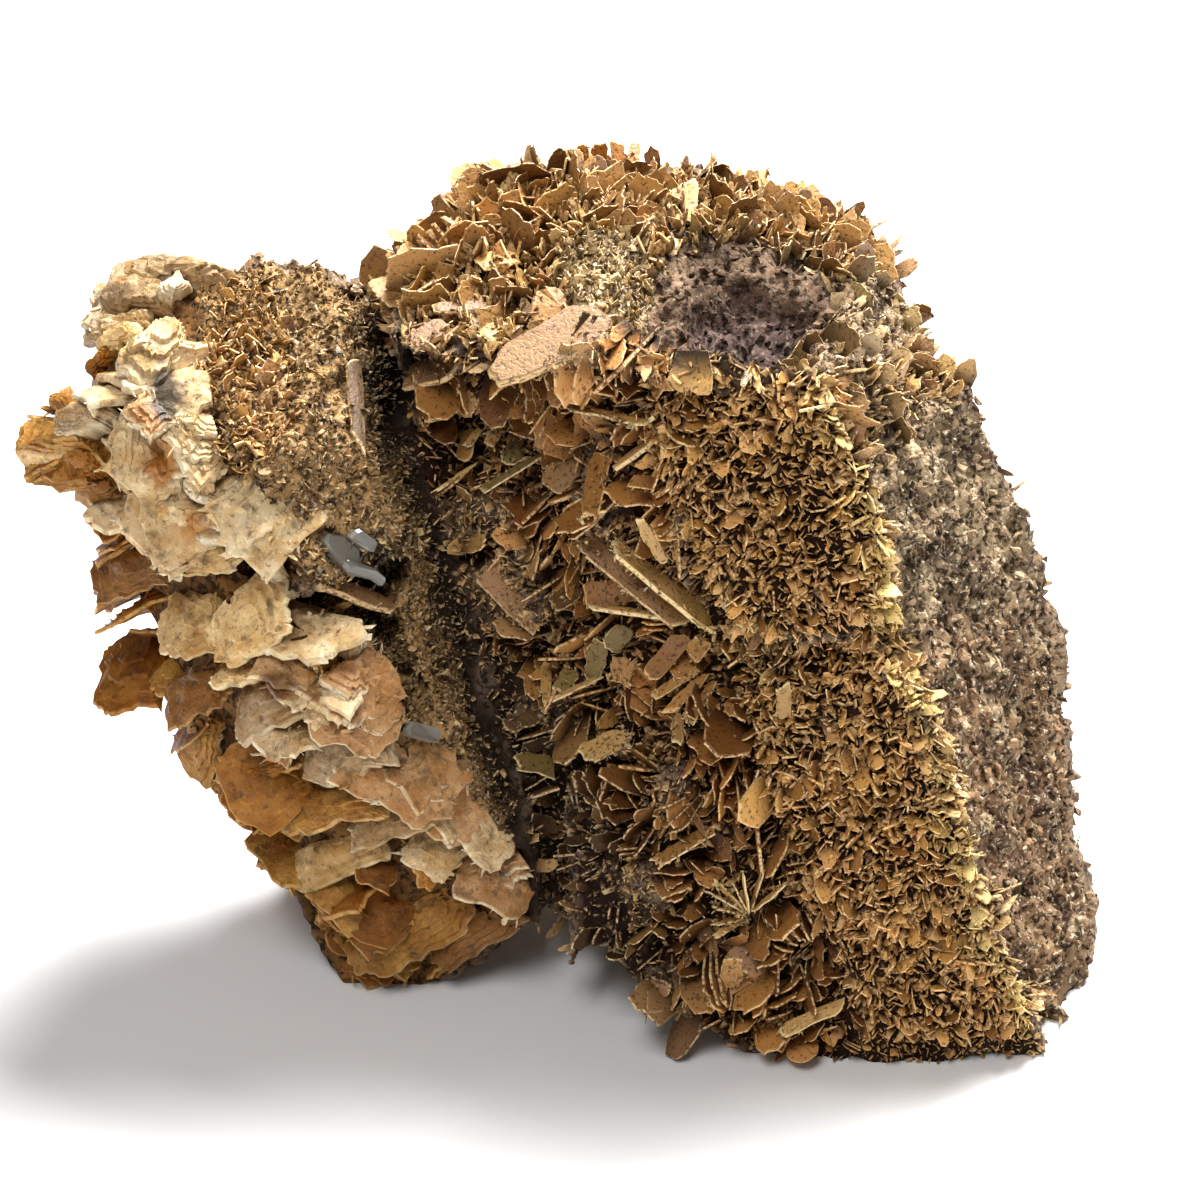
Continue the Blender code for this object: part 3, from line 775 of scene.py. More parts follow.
LOBE_FEATURES = features(
    ((116, 450), (16, 444), 48, (1, 0.5), (-0.15, 0.55, 0.8), Tone.HONEY, 5, 0.6, 0.5, 0.9),
    ((118, 474), (26, 468), 38, (0, -0.5), (-0.15, -0.15, 1), Tone.HONEY, 6, 0.5, 0.5, 0.8),
    ((110, 462), (62, 458), 44, (2.5, 2), (-0.2, 0, 1), Tone.AMBER, 3, 0.6, 0.5, 0.8),
    ((84, 424), (60, 394), 28, (2, 1.5), (-0.1, 0.35, 0.95), Tone.HONEY, 3, 0.5, 0.4, 0.4),
    ((112, 410), (60, 430), 31, (4, 5), (-0.1, 0.45, 0.85), Tone.PUTTY, 4, 0.6, 0.4, 0.5),
    ((132, 478), (92, 496), 26, (1, 1), (-0.2, 0, 1), Tone.UMBER, 3, 0.6, 0.5, 0.6),
    ((136, 402), (128, 494), 37, (4, 6), (-0.2, 0.2, 0.95), Tone.CREAM, 3.4, 1.4, 0.25, 0.4),
    ((184, 404), (170, 500), 26, (4, 6), (0.1, 0.2, 0.95), Tone.CREAM, 2.6, 1.2, 0.25, 0.4),
    ((168, 492), (120, 541), 52, (4, 6.5), (-0.1, 0.5, 0.85), Tone.BUTTER, 1.6, 2, 0.35, 0.4),
    ((246, 502), (180, 490), 15, (4.5, 5.5), (0, 0.6, 0.7), Tone.CREAM, 1.8, 0.5, 0.2, 0.2),
    ((242, 537), (170, 542), 10, (5.5, 7.5), (0, 0.6, 0.7), Tone.CHALK, 1.6, 0.2, 0.1, 0.1),
    ((248, 552), (164, 564), 36, (3.5, 5.5), (0, 0.2, 1), Tone.KHAKI, 1.2, 1, 0.4, 0.3),
    ((288, 590), (207, 650), 84, (3.5, 7), (-0.1, 0.35, 0.9), Tone.BUTTER, 1.3, 1.5, 0.45, 0.5),
    ((254, 546), (300, 606), 22, (6, 7), (0, 0.3, 0.95), Tone.CHALK, 1.8, 0.6, 0.3, 0.4),
    ((228, 606), (154, 638), 80, (1.5, 5), (-0.3, 0.3, 0.9), Tone.KHAKI, 1.1, 1.5, 0.5, 0.4),
    ((172, 556), (84, 584), 66, (0, 3), (-0.3, 0.2, 0.9), Tone.UMBER, 1.1, 1.5, 0.5, 0.4),
    ((152, 624), (120, 718), 92, (-1, 3), (-0.35, 0.2, 0.9), Tone.AMBER, 1.1, 1.5, 0.5, 0.4),
    ((242, 668), (158, 704), 60, (1, 3.5), (-0.2, 0.3, 0.9), Tone.UMBER, 1.1, 1.2, 0.5, 0.4),
    ((216, 712), (188, 774), 50, (0, 3), (-0.3, 0.3, 0.9), Tone.HONEY, 1.1, 1, 0.5, 0.4),
    ((280, 666), (204, 682), 28, (4, 6.5), (0, 0.5, 0.85), Tone.BUTTER, 1.2, 1, 0.4, 0.3),
    ((318, 690), (226, 716), 60, (3, 6.5), (-0.1, 0.4, 0.9), Tone.PUTTY, 1.6, 2.2, 0.4, 0.5),
    ((402, 734), (306, 757), 66, (2.5, 4.5), (0, 0.3, 0.95), Tone.PUTTY, 2, 1.5, 0.4, 0.5),
    ((402, 611), (284, 567), 25, (1.5, 2.5), (0.1, 0.7, 0.7), Tone.PINKISH, 2, 0.4, 0.2, 0.4),
    ((232, 280), (122, 272), 36, (1, 1), (0, 0.5, 0.85), Tone.PUTTY, 3.4, 0.6, 0.5, 0.6),
    ((172, 296), (96, 296), 44, (2.5, 2.5), (-0.1, 0.35, 0.95), Tone.PUTTY, 2.6, 1, 0.5, 0.6),
    ((190, 278), (156, 300), 26, (3.5, 4), (0, 0.3, 0.95), Tone.CHALK, 2.2, 0.4, 0.3, 0.3),
    ((150, 318), (78, 336), 32, (2.5, 3), (-0.1, 0.3, 0.95), Tone.CREAM, 2.2, 0.8, 0.5, 0.5),
    ((142, 326), (100, 352), 30, (3.5, 4.5), (-0.2, 0.3, 0.95), Tone.BUTTER, 1.6, 0.8, 0.5, 0.5),
    ((186, 322), (128, 382), 58, (3, 4.5), (-0.1, 0.4, 0.9), Tone.CREAM, 2.4, 1.2, 0.5, 0.8),
    ((112, 350), (92, 376), 24, (0.5, 0.5), (-0.3, 0.1, 0.95), Tone.AMBER, 2.5, 0.6, 0.4, 0.4),
    ((386, 790), (268, 816), 60, (1.5, 4), (-0.1, 0.4, 0.9), Tone.HONEY, 1.3, 1.5, 0.5, 0.5),
    ((402, 832), (286, 872), 58, (1, 3.5), (-0.1, 0.4, 0.9), Tone.KHAKI, 1.3, 1.5, 0.5, 0.5),
    ((300, 752), (212, 770), 46, (1, 4), (-0.2, 0.4, 0.9), Tone.UMBER, 1.2, 1.2, 0.5, 0.4),
    ((474, 888), (344, 962), 70, (1, 3), (-0.1, 0.25, 0.95), Tone.HONEY, 1.4, 1.5, 0.5, 0.5),
    ((520, 900), (424, 962), 50, (1, 2.5), (0, 0.2, 1), Tone.UMBER, 1.4, 1.2, 0.5, 0.5),
    ((440, 800), (350, 840), 44, (2.5, 4.5), (0, 0.4, 0.9), Tone.PUTTY, 1.4, 1.2, 0.4, 0.4),
)

CLEAR_FEATURES = features(
    ((358, 568), (324, 538), 26, (-0.6, 0.9), (-0.3, 0.5, 0.8), Tone.CLEAR, 2.2, 0.1, 0.1, 0.2),
    ((386, 578), (336, 562), 14, (-0.6, 0.9), (0.3, 0.8, 0.5), Tone.CLEAR, 1.6, 0.1, 0.1, 0.2),
    ((372, 548), (350, 532), 16, (-0.8, 0.6), (0.1, 0.2, 1), Tone.CLEAR, 1.8, 0.1, 0.1, 0.2),
    ((440, 738), (404, 726), 18, (-0.5, 0.6), (0, 0.3, 1), Tone.CLEAR, 1.6, 0.1, 0.1, 0.2),
)

FEATURES = DOME_FEATURES + CRUST_FEATURES + LOBE_FEATURES


class Zone(Enum):
    """Kinds of surface that crystals grow on, by the name of their share."""

    DOME = "on_dome"
    COARSE = "on_coarse"
    DIM = "on_dim"
    FINE = "on_fine"
    EDGE = "on_edge"
    BARE = "on_bare"
    RUBBLE = "on_rubble"
    CHALK = "on_chalk"
    LOBE_ROCK = "on_lobe_rock"
    LOBE_FLAKES = "on_lobe_flakes"
    PLATES = "on_plates"
    BACK = "on_back"
    CRUMBS = "on_crumbs"

    @property
    def clear_of_large(self) -> str:
        """The attribute that leaves out the places that large crystals cover."""
        return f"{self.value}_open"


class Surface:
    """What each point of the rock is like: its zones, its place in the photograph and its colours."""

    def __init__(self, points: np.ndarray, facing: np.ndarray) -> None:
        """Works the zones out.

        Args:
            points: places on the rock in millimetres, one to a row.
            facing: the way the rock faces at each.
        """
        self.points, self.facing = points, facing
        wander = ripple(points, 6.0, 3.0) * 14.0
        column, row = VIEW.pixels(points)
        self.column, self.row = column + wander, row + ripple(points, 6.0, 9.0) * 14.0
        to_eye = unit(np.array(VIEW.location_mm) - points)
        self.seen = smooth(-0.12, 0.12, np.einsum("ij,ij->i", facing, to_eye))
        self.zones = self.find_zones()
        self.cover = np.maximum.reduce([item.cover(column, row) for item in FEATURES]) * self.seen

    def patch(self, blot: Blot) -> np.ndarray:
        """1 inside a patch of the photograph and 0 outside it and where the photograph can't see."""
        return blot.share(self.column, self.row) * self.seen

    def find_zones(self) -> dict[Zone, np.ndarray]:
        """Works out how much of each kind of surface there is at each point."""
        column, row, seen = self.column, self.row, self.seen
        height, depth = self.points[:, 2], self.points[:, 1]
        from_crevice = column - along(CREVICE, row)
        right = smooth(-6.0, 6.0, from_crevice)
        crust = smooth(10.0, 34.0, from_crevice)
        above_rim = smooth(8.0, -8.0, row - along(DOME_RIM, column))
        bare_top = np.maximum.reduce([
            self.patch(CRATER_MOUTH), self.patch(CHALKY_PATCH), self.patch(GRITTY_SHOULDER) * 0.92])
        rubble = np.maximum.reduce([patch.share(column, row) for patch in RUBBLE_PATCHES]) * seen
        top = np.maximum(above_rim * seen, smooth(0.25, 0.5, self.facing[:, 2]) * smooth(88.0, 98.0, height))
        top *= smooth(36.0, 28.0, depth) * smooth(-4.0, 6.0, from_crevice)
        past_ridge = smooth(-7.0, 7.0, column - along(RIDGE, row)) * (1.0 - top)
        coarse = smooth(10.0, -10.0, column - along(COARSE_EDGE, row))
        dark_shaded = smooth(10.0, -10.0, column - along(DARK_SHADED_EDGE, row)) * smooth(560.0, 640.0, row)
        front = seen * crust * (1.0 - top) * (1.0 - past_ridge)
        lobe = 1.0 - right
        behind = smooth(0.45, 0.65, self.facing[:, 1])
        lobe_rock = smooth(-8.0, 8.0, column - along(LOBE_ROCK_EDGE, row)) * smooth(880.0, 800.0, row)
        lobe_rock *= seen
        inner = np.maximum(smooth(-0.25, 0.1, self.facing[:, 0]), behind)
        flakes = np.maximum(FLAKY_PATCH.share(column, row), OCHRE_PATCH.share(column, row)) * seen
        underside = smooth(-0.3, -0.6, self.facing[:, 2]) * smooth(16.0, 10.0, height)
        plates = lobe * (1.0 - lobe_rock) * (1.0 - underside) * (1.0 - inner * (1.0 - seen))
        plates *= 1.0 - smooth(0.0, 16.0, column - along(LOBE_ROCK_EDGE, row)) * smooth(880.0, 800.0, row)
        return {
            Zone.DOME: top * (1.0 - bare_top),
            Zone.COARSE: front * coarse * (1.0 - dark_shaded) * (1.0 - 0.8 * rubble),
            Zone.RUBBLE: np.maximum(rubble * right, front * dark_shaded * 0.7),
            Zone.CHALK: self.patch(CHALKY_PATCH),
            Zone.DIM: front * dark_shaded,
            Zone.FINE: front * (1.0 - coarse),
            Zone.EDGE: front * smooth(60.0, 20.0, along(RIDGE, row) - column),
            Zone.BARE: np.maximum(bare_top, past_ridge * right * seen),
            Zone.LOBE_ROCK: lobe * lobe_rock,
            Zone.LOBE_FLAKES: lobe * flakes,
            Zone.PLATES: plates,
            Zone.BACK: (1.0 - seen) * (1.0 - top) * np.maximum(right, inner),
        }

    def blend(self, colours: Iterable[tuple[np.ndarray, str]]) -> np.ndarray:
        """Lays colours over each other.

        Args:
            colours: pairs of how much a colour covers each point, and the colour.

        Returns:
            Each point's linear colour with its alpha.
        """
        made = np.zeros((len(self.points), 4))
        for share, code in colours:
            made = made * (1.0 - share[:, None]) + np.array(linear(code)) * share[:, None]
        made[:, 3] = 1.0
        return made

    def tone(self) -> np.ndarray:
        """The colour of the bare rock at each point, with painted shade in the crevice, the deep hole,
        the clear crystal's hollow, the dark shaded zone and the gaps under the crust.
        """
        zones = self.zones
        everywhere = np.ones(len(self.points))
        low = smooth(560.0, 700.0, self.row)
        crust = np.maximum.reduce([zones[Zone.DOME], zones[Zone.COARSE], zones[Zone.FINE]])
        # Painted shade along the crevice between the lobe and the right-hand mass
        crevice_shade = 1.0 - smooth(4.0, 26.0, np.abs(self.column - along(CREVICE, self.row)))
        return self.blend((
            (everywhere, "#7d6a58"),
            (zones[Zone.BACK], "#86705a"),
            (zones[Zone.LOBE_ROCK], "#97784f"),
            (zones[Zone.BARE], "#8f7b60"),
            (zones[Zone.BARE] * low * (1.0 - zones[Zone.DOME]), "#866b50"),
            (zones[Zone.BARE] * smooth(0.05, 0.45, ripple(self.points, 7.0, 21.0)) * 0.7, "#6d5645"),
            (zones[Zone.BARE] * smooth(0.15, 0.5, ripple(self.points, 5.0, 33.0)) * 0.5, "#c4b08e"),
            (self.patch(GRITTY_SHOULDER), "#8c765b"),
            (self.patch(CRATER_MOUTH), "#64503f"),
            (self.patch(CRATER_FLOOR), "#4c3c38"),
            (self.patch(CHALKY_PATCH), "#bda680"),
            (zones[Zone.PLATES], "#6a4a26"),
            # Dark matrix and painted shade: the dark shaded zone's rock is near black
            (zones[Zone.DIM], "#271810"),
            # Dark rock and painted shade: under the blades it is near black, as the deep gaps between them
            # look
            (crust, "#281509"),
            # Painted shade: the rock is darkened along the crevice
            (crevice_shade * self.seen * smooth(250.0, 290.0, self.row), "#2c1f15"),
            # Painted shade: the deep hole is near black
            (self.patch(HOLE_SHADE), "#140d09"),
            (self.patch(CLEAR_PATCH), "#5a5148"),
            # Painted shade in the hollow by the clear crystal
            (self.patch(CLEAR_HOLLOW_SHADE), "#2b1f18"),
            (self.patch(OCHRE_PATCH), "#e0a94c"),
        ))

    def crust_tone(self) -> np.ndarray:
        """The golden tone of the blades that grow at each point, darker as painted shade in the dark shaded
        zone.
        """
        zones = self.zones
        everywhere = np.ones(len(self.points))
        shade = smooth(600.0, 820.0, self.row) * smooth(120.0, 0.0, self.column - along(DARK_SHADED_EDGE, self.row))
        return self.blend((
            (everywhere, "#b98f5c"),
            (zones[Zone.BACK], "#b08a60"),
            (zones[Zone.DOME], "#ae824c"),
            (zones[Zone.COARSE], "#b57e45"),
            (zones[Zone.FINE], "#cf9a58"),
            (zones[Zone.EDGE], "#ebba78"),
            (zones[Zone.RUBBLE] * (1.0 - zones[Zone.DIM]), "#b48c5c"),
            (zones[Zone.CHALK], "#c3ab80"),
            # Painted shade, in part: blades in the dark shaded zone, and coarse ones below and left of it,
            # are darker
            (np.clip(zones[Zone.DIM] + shade * zones[Zone.COARSE] * 0.6, 0.0, 1.0), "#644629"),
            (zones[Zone.BARE], "#aa9066"),
            (zones[Zone.LOBE_ROCK], "#9f7f52"),
            (zones[Zone.LOBE_FLAKES], "#bd8c50"),
        ))


# Corners of the convex masses that the rock is fused from, in millimetres
ROCK_MASSES = {
    "dome": (
        (-30, 12, 110), (-23, 20, 117), (-10, 26, 123), (6, 32, 119), (23, 32, 116), (38, 26, 110),
        (45, 21, 102), (-31, -6, 108), (-18, -13, 105), (-1, -20, 110), (14, -24, 112), (31, -22, 111),
        (-25, 10, 84), (0, 2, 85), (36, -8, 91), (54, 12, 90), (-22, 42, 104), (10, 48, 112), (42, 46, 104),
        (50, 40, 80), (-20, 44, 75),
    ),
    "shoulder": (
        (3, -16, 103), (31, -23, 111), (39, -25, 96), (42, -27, 78), (41, -27, 69), (28, -29, 70),
        (19, -27, 72), (-3, -14, 83), (-6, -8, 93), (-5, 15, 90), (45, 15, 90), (45, 15, 50), (5, 15, 50),
    ),
    "skirt": (
        (13, -22, 58), (43, -27, 68), (49, -29, 59), (55, -32, 40), (59, -33, 23), (67, -32, 5),
        (68, -30, -3), (45, -34, -3), (28, -32, -3), (7, -30, 10), (-5, -24, 20), (-1, -16, 37),
        (-6, -8, 42), (0, 15, 55), (50, 15, 55), (55, 15, -3), (15, 15, -3),
    ),
    "trunk": (
        (0, -4, 94), (31, -20, 109), (56, 14, 91), (60, 14, 79), (64, 13, 69), (67, 12, 57), (73, 12, 46),
        (75, 8, 25), (79, 4, 10), (81, -2, 3), (79, -11, -3), (60, -28, 20), (50, -24, 56), (-22, 2, 81),
        (-18, 0, 62), (-15, -3, 43), (-8, -10, 22), (-14, 44, 95), (45, 46, 90), (62, 36, 60), (66, 30, 20),
        (56, 32, -3), (22, 36, -3), (14, 42, 6), (60, 38, 8), (-12, 40, 25), (-18, 46, 60), (74, -21, -3),
        (20, -28, 4),
    ),
    "upper_lobe": (
        (-74, 2, 107), (-65, 8, 113), (-56, 12, 111), (-50, 14, 109), (-40, 14, 110), (-36, 14, 108),
        (-78, -4, 92), (-77, -2, 77), (-76, 2, 63), (-66, -12, 105), (-56, -20, 95), (-42, -18, 97),
        (-34, -8, 96), (-26, -12, 76), (-43, -22, 75), (-72, 28, 98), (-40, 34, 98), (-74, 28, 65),
        (-40, 36, 60),
    ),
    "lower_lobe": (
        (-74, 0, 64), (-67, 2, 43), (-57, 0, 27), (-47, -3, 12), (-42, -10, 6), (-41, -13, -3),
        (-25, -13, -3), (-14, -15, 12), (-57, -18, 79), (-43, -26, 70), (-29, -26, 60), (-21, -22, 42),
        (-26, -20, 25), (-51, -16, 54), (-44, -16, 33), (-68, 26, 60), (-40, 34, 60), (-48, 20, 18),
        (-28, 22, 10), (-30, 14, -3), (-40, 6, -3),
    ),
    "bridge": (
        (-41, 12, 108), (-29, 14, 106), (-22, 4, 84), (-19, -2, 63), (-15, -10, 51), (-8, -18, 24),
        (-29, -10, 74), (-25, -18, 55), (-20, -20, 25), (-36, -6, 92), (-36, 34, 95), (-14, 42, 95),
        (-40, 32, 40), (-10, 38, 30), (-14, 14, 14), (-26, 14, 10),
    ),
    "back_swell": (
        (-8, 40, 102), (28, 44, 103), (42, 48, 78), (12, 54, 74), (-14, 46, 64), (22, 51, 44), (50, 42, 36),
        (0, 44, 30), (30, 44, 18), (35, 20, 60),
    ),
    "lobe_swell": (
        (-62, 27, 94), (-46, 37, 86), (-67, 28, 68), (-50, 36, 56), (-38, 34, 72), (-48, 24, 34),
        (-50, 10, 70),
    ),
    "tip": (
        (-84, -4, 90), (-79, -2, 95), (-72, -8, 99), (-68, -14, 95), (-77, -6, 85), (-83, -2, 85),
        (-75, 4, 77), (-75, 8, 90), (-83, 8, 85),
    ),
}


@dataclass(frozen=True)
class Pit:
    """A hollow in the rock, seen at a pixel: its half width and its depth along the view, in mm."""

    seen_at: Pair
    half_width: float
    depth: float
    stretch: float = 1.0


PITS = (
    Pit((384, 395), 6.5, 13.0, 1.5),
    Pit((392, 578), 4.0, 5.0, 0.8),
    Pit((400, 690), 5.0, 6.0, 0.9),
    Pit((352, 610), 4.5, 5.0, 0.7),
    Pit((205, 515), 4.0, 4.5, 0.9),
    Pit((165, 396), 3.0, 3.0, 1.6),
    Pit((515, 800), 5.0, 4.0, 0.9),
)


class PieceMesh:
    """Helpers that turn arrays into finished pieces of the specimen."""

    @staticmethod
    def from_arrays(name: str, points: np.ndarray, faces: Sequence[Sequence[int]]) -> bpy.types.Object:
        """Makes a linked object.

        Args:
            name: the piece's name.
            points: its corners in millimetres.
            faces: its faces' corners, by number.

        Returns:
            The object, whose mesh is in metres.
        """
        mesh = bpy.data.meshes.new(name)
        mesh.from_pydata((points * MM).tolist(), [], faces)
        return linked(name, mesh)

    @staticmethod
    def corners(mesh: bpy.types.Mesh) -> np.ndarray:
        """A mesh's corners in millimetres, one to a row."""
        flat = np.empty(len(mesh.vertices) * 3, np.float32)
        mesh.vertices.foreach_get("co", flat)
        return flat.reshape(-1, 3).astype(float) / MM

    @staticmethod
    def move_corners(mesh: bpy.types.Mesh, points: np.ndarray) -> None:
        """Puts a mesh's corners at places in millimetres."""
        mesh.vertices.foreach_set("co", (points * MM).astype(np.float32).ravel())
        mesh.update()

    @staticmethod
    def facing(mesh: bpy.types.Mesh) -> np.ndarray:
        """The way a mesh faces at each corner."""
        flat = np.empty(len(mesh.vertices) * 3, np.float32)
        mesh.vertex_normals.foreach_get("vector", flat)
        return flat.reshape(-1, 3).astype(float)

    @staticmethod
    def store(mesh: bpy.types.Mesh, name: str, values: np.ndarray) -> None:
        """Keeps values on a mesh's corners, as numbers, vectors or colours by their width."""
        kinds = {1: ("FLOAT", "value"), 3: ("FLOAT_VECTOR", "vector"), 4: ("FLOAT_COLOR", "color")}
        kind, field_name = kinds[1 if values.ndim == 1 else values.shape[1]]
        made = mesh.attributes.get(name) or mesh.attributes.new(name, kind, "POINT")
        made.data.foreach_set(field_name, values.astype(np.float32).ravel())

    @staticmethod
    def evaluate(target: bpy.types.Object) -> None:
        """Replaces an object's mesh by what its modifiers make of it, and removes them."""
        bpy.context.view_layer.update()
        graph = bpy.context.evaluated_depsgraph_get()
        finished = bpy.data.meshes.new_from_object(target.evaluated_get(graph))
        target.modifiers.clear()
        target.data = finished

    @staticmethod
    def crystal_numbers(mesh: bpy.types.Mesh) -> np.ndarray:
        """Which crystal each corner belongs to: corners of one crystal share their chance tint."""
        tint = np.empty(len(mesh.vertices), np.float32)
        mesh.attributes["tint"].data.foreach_get("value", tint)
        return np.unique(tint, return_inverse=True)[1]

    @staticmethod
    def moves_into(points: np.ndarray, owner: np.ndarray, low: np.ndarray, high: np.ndarray) -> np.ndarray:
        """How each corner moves so that its whole crystal lies inside a box.

        Args:
            points: the corners.
            owner: the number of the crystal that each belongs to.
            low: the box's lowest corner.
            high: the box's highest corner.

        Returns:
            A move for each corner, the same for a crystal's every corner.
        """
        least = np.full((owner.max() + 1, 3), np.inf)
        most = np.full((owner.max() + 1, 3), -np.inf)
        np.minimum.at(least, owner, points)
        np.maximum.at(most, owner, points)
        return (np.maximum(low - least, 0.0) - np.maximum(most - high, 0.0))[owner]

    @classmethod
    def finish(cls, piece: bpy.types.Object, slot: Slot, material: bpy.types.Material | None = None) -> None:
        """Keeps a piece inside the solid's box, gives it its finish, and rides it on the specimen.

        Args:
            piece: the piece.
            slot: the record's slot that its finish belongs to; not used.
            material: its finish, unless it has one.
        """
        low, high = (np.array(corner) / MM for corner in CAD_BOX)
        low, high = low + BOX_MARGIN_MM, high - BOX_MARGIN_MM
        points = cls.corners(piece.data)
        if "tint" in piece.data.attributes:
            points += cls.moves_into(points, cls.crystal_numbers(piece.data), low, high)
        cls.move_corners(piece.data, np.clip(points, low, high))
        if material is not None:
            piece.data.materials.clear()
            piece.data.materials.append(material)
        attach(piece, BODY)
        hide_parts(NODE)
        log.info("%s: %d faces", piece.name, len(piece.data.polygons))


@dataclass
class Rock:
    """The rock that everything grows on: convex masses fused, worn, hollowed and roughened."""

    voxel_mm: float = 1.0
    wear_passes: int = 12
    lump_mm: Pair = (1.6, 15.0)
    ledge_mm: Pair = (1.2, 7.0)
    back_rougher: float = 1.2
    lowered_mm: float = 1.1
    crater_mm: float = 11.0
    crater_turn: Triple = (0.0, -0.37, 0.93)
    crevice_mm: float = 9.0
    arch_mm: float = 10.0

    def fused(self) -> bpy.types.Object:
        """The masses as one body with worn edges."""
        together = bmesh.new()
        for corners in ROCK_MASSES.values():
            mass = hull((np.array(corners) + MIDDLE_OFFSET) * MM)
            mesh = bpy.data.meshes.new("mass")
            mass.to_mesh(mesh)
            mass.free()
            together.from_mesh(mesh)
            bpy.data.meshes.remove(mesh)
        rock = linked("rock_matrix", bpy.data.meshes.new("rock_matrix"))
        together.to_mesh(rock.data)
        together.free()
        fuse = rock.modifiers.new("fuse", "REMESH")
        fuse.mode = "VOXEL"
        fuse.voxel_size = self.voxel_mm * MM
        wear = rock.modifiers.new("wear", "SMOOTH")
        wear.factor = 0.5
        wear.iterations = self.wear_passes
        PieceMesh.evaluate(rock)
        return rock

    @staticmethod
    def cut_level(mesh: bpy.types.Mesh) -> None:
        """Takes off what lies below the floor, and closes the cut."""
        form = bmesh.new()
        form.from_mesh(mesh)
        bmesh.ops.bisect_plane(
            form, geom=form.verts[:] + form.edges[:] + form.faces[:], clear_inner=True,
            plane_co=(0.0, 0.0, BOX_MARGIN_MM * MM), plane_no=(0.0, 0.0, 1.0))
        bmesh.ops.holes_fill(form, edges=[edge for edge in form.edges if edge.is_boundary])
        bmesh.ops.recalc_face_normals(form, faces=form.faces)
        form.to_mesh(mesh)
        form.free()

    def broad_relief(self, points: np.ndarray, facing: np.ndarray) -> np.ndarray:
        """How far the lumps and ledges that the solid has too make the rock stand out."""
        there = points - MIDDLE_OFFSET
        shift = np.array((31.0, 7.0, 19.0)) * self.ledge_mm[1]
        lump = ripple(there, self.lump_mm[1])
        ledge = ripple(there + shift, self.ledge_mm[1])
        rougher = 1.0 + self.back_rougher * np.maximum(facing[:, 1], 0.0)
        relief = self.lump_mm[0] * lump + self.ledge_mm[0] * (1.0 - 2.0 * np.abs(ledge))
        return rougher * relief - self.lowered_mm

    @staticmethod
    def fine_relief(points: np.ndarray, zones: dict[Zone, np.ndarray]) -> np.ndarray:
        """How far grains and small ledges make the rock stand out, and how far it lies under its crust."""
        rough = 1.0 - 0.75 * zones[Zone.PLATES] + 1.1 * zones[Zone.BARE] + 0.7 * zones[Zone.LOBE_ROCK]
        fine = 0.75 * (grains(points, 4.5, 5.0) - 0.3) + 0.5 * (grains(points, 2.0, 8.0) - 0.3)
        fine += 0.5 * ripple(points, 3.0, 2.0) + 0.35 * ripple(points, 1.5, 4.0)
        blocky = np.maximum(zones[Zone.BARE], 0.6 * zones[Zone.LOBE_ROCK])
        fine += 1.1 * (grains(points, 9.0, 11.0) - 0.4) * blocky
        buried = (2.9 * zones[Zone.DOME] + 5.6 * zones[Zone.COARSE] + 2.6 * zones[Zone.FINE]
                  + 1.2 * zones[Zone.DIM] + 3.4 * zones[Zone.PLATES])
        buried += 1.2 * zones[Zone.BARE] * smooth(20.0, 60.0, points[:, 0])
        return rough * fine - buried * (0.35 + 0.65 * smooth(4.0, 20.0, points[:, 2]))

    def crater_push(self, points: np.ndarray, surface: Surface) -> np.ndarray:
        """How the crater in the dome moves each point."""
        mouth = CRATER_MOUTH.share(surface.column, surface.row) * surface.seen
        floor = CRATER_FLOOR.share(surface.column, surface.row) * surface.seen
        rough = 1.1 * (grains(points, 3.2, 1.0) - 0.4) * mouth
        depth = self.crater_mm * (0.45 * mouth + 0.55 * floor)
        opens = unit(np.array(self.crater_turn))
        return opens * (rough - depth)[:, None]

    def shape(self, rock: bpy.types.Object) -> Surface:
        """Presses the hollows in and roughens the rock, and keeps what each point is like on its mesh."""
        mesh = rock.data
        points, facing = PieceMesh.corners(mesh), PieceMesh.facing(mesh)
        column, row = VIEW.pixels(points)
        points[:, 0] -= np.maximum(column - along(RIGHT_SIDE, row) + 8.0, 0.0) * VIEW.mm_per_px
        surface = Surface(points, facing)
        rise = self.broad_relief(points, facing) + self.fine_relief(points, surface.zones)
        off_line = np.abs(surface.column - along(CREVICE, surface.row)) / 30.0
        strength = np.clip(1.0 - off_line ** 2, 0.0, 1.0) * surface.seen * smooth(255.0, 300.0, surface.row)
        strength *= 1.0 - smooth(680.0, 820.0, surface.row)
        inwards = VIEW.axes[2] * 0.6 + np.array((0.0, 1.0, 0.0)) * 0.4
        push = facing * rise[:, None] + self.crater_push(points, surface)
        push += inwards * (self.crevice_mm * strength)[:, None]
        for pit in PITS:
            off = np.hypot((surface.column - pit.seen_at[0]), (surface.row - pit.seen_at[1]) / pit.stretch)
            share = np.clip(1.0 - (off * VIEW.mm_per_px / pit.half_width) ** 2, 0.0, 1.0) * surface.seen
            push += inwards * (pit.depth * share)[:, None]
        placed = points + push
        arch = self.arch_mm * ARCH_TOP.share(surface.column, surface.row)
        placed[:, 2] -= arch * smooth(0.2, -0.3, facing[:, 2])
        PieceMesh.move_corners(mesh, placed)
        self.keep(mesh, surface)
        self.cut_level(mesh)
        return surface

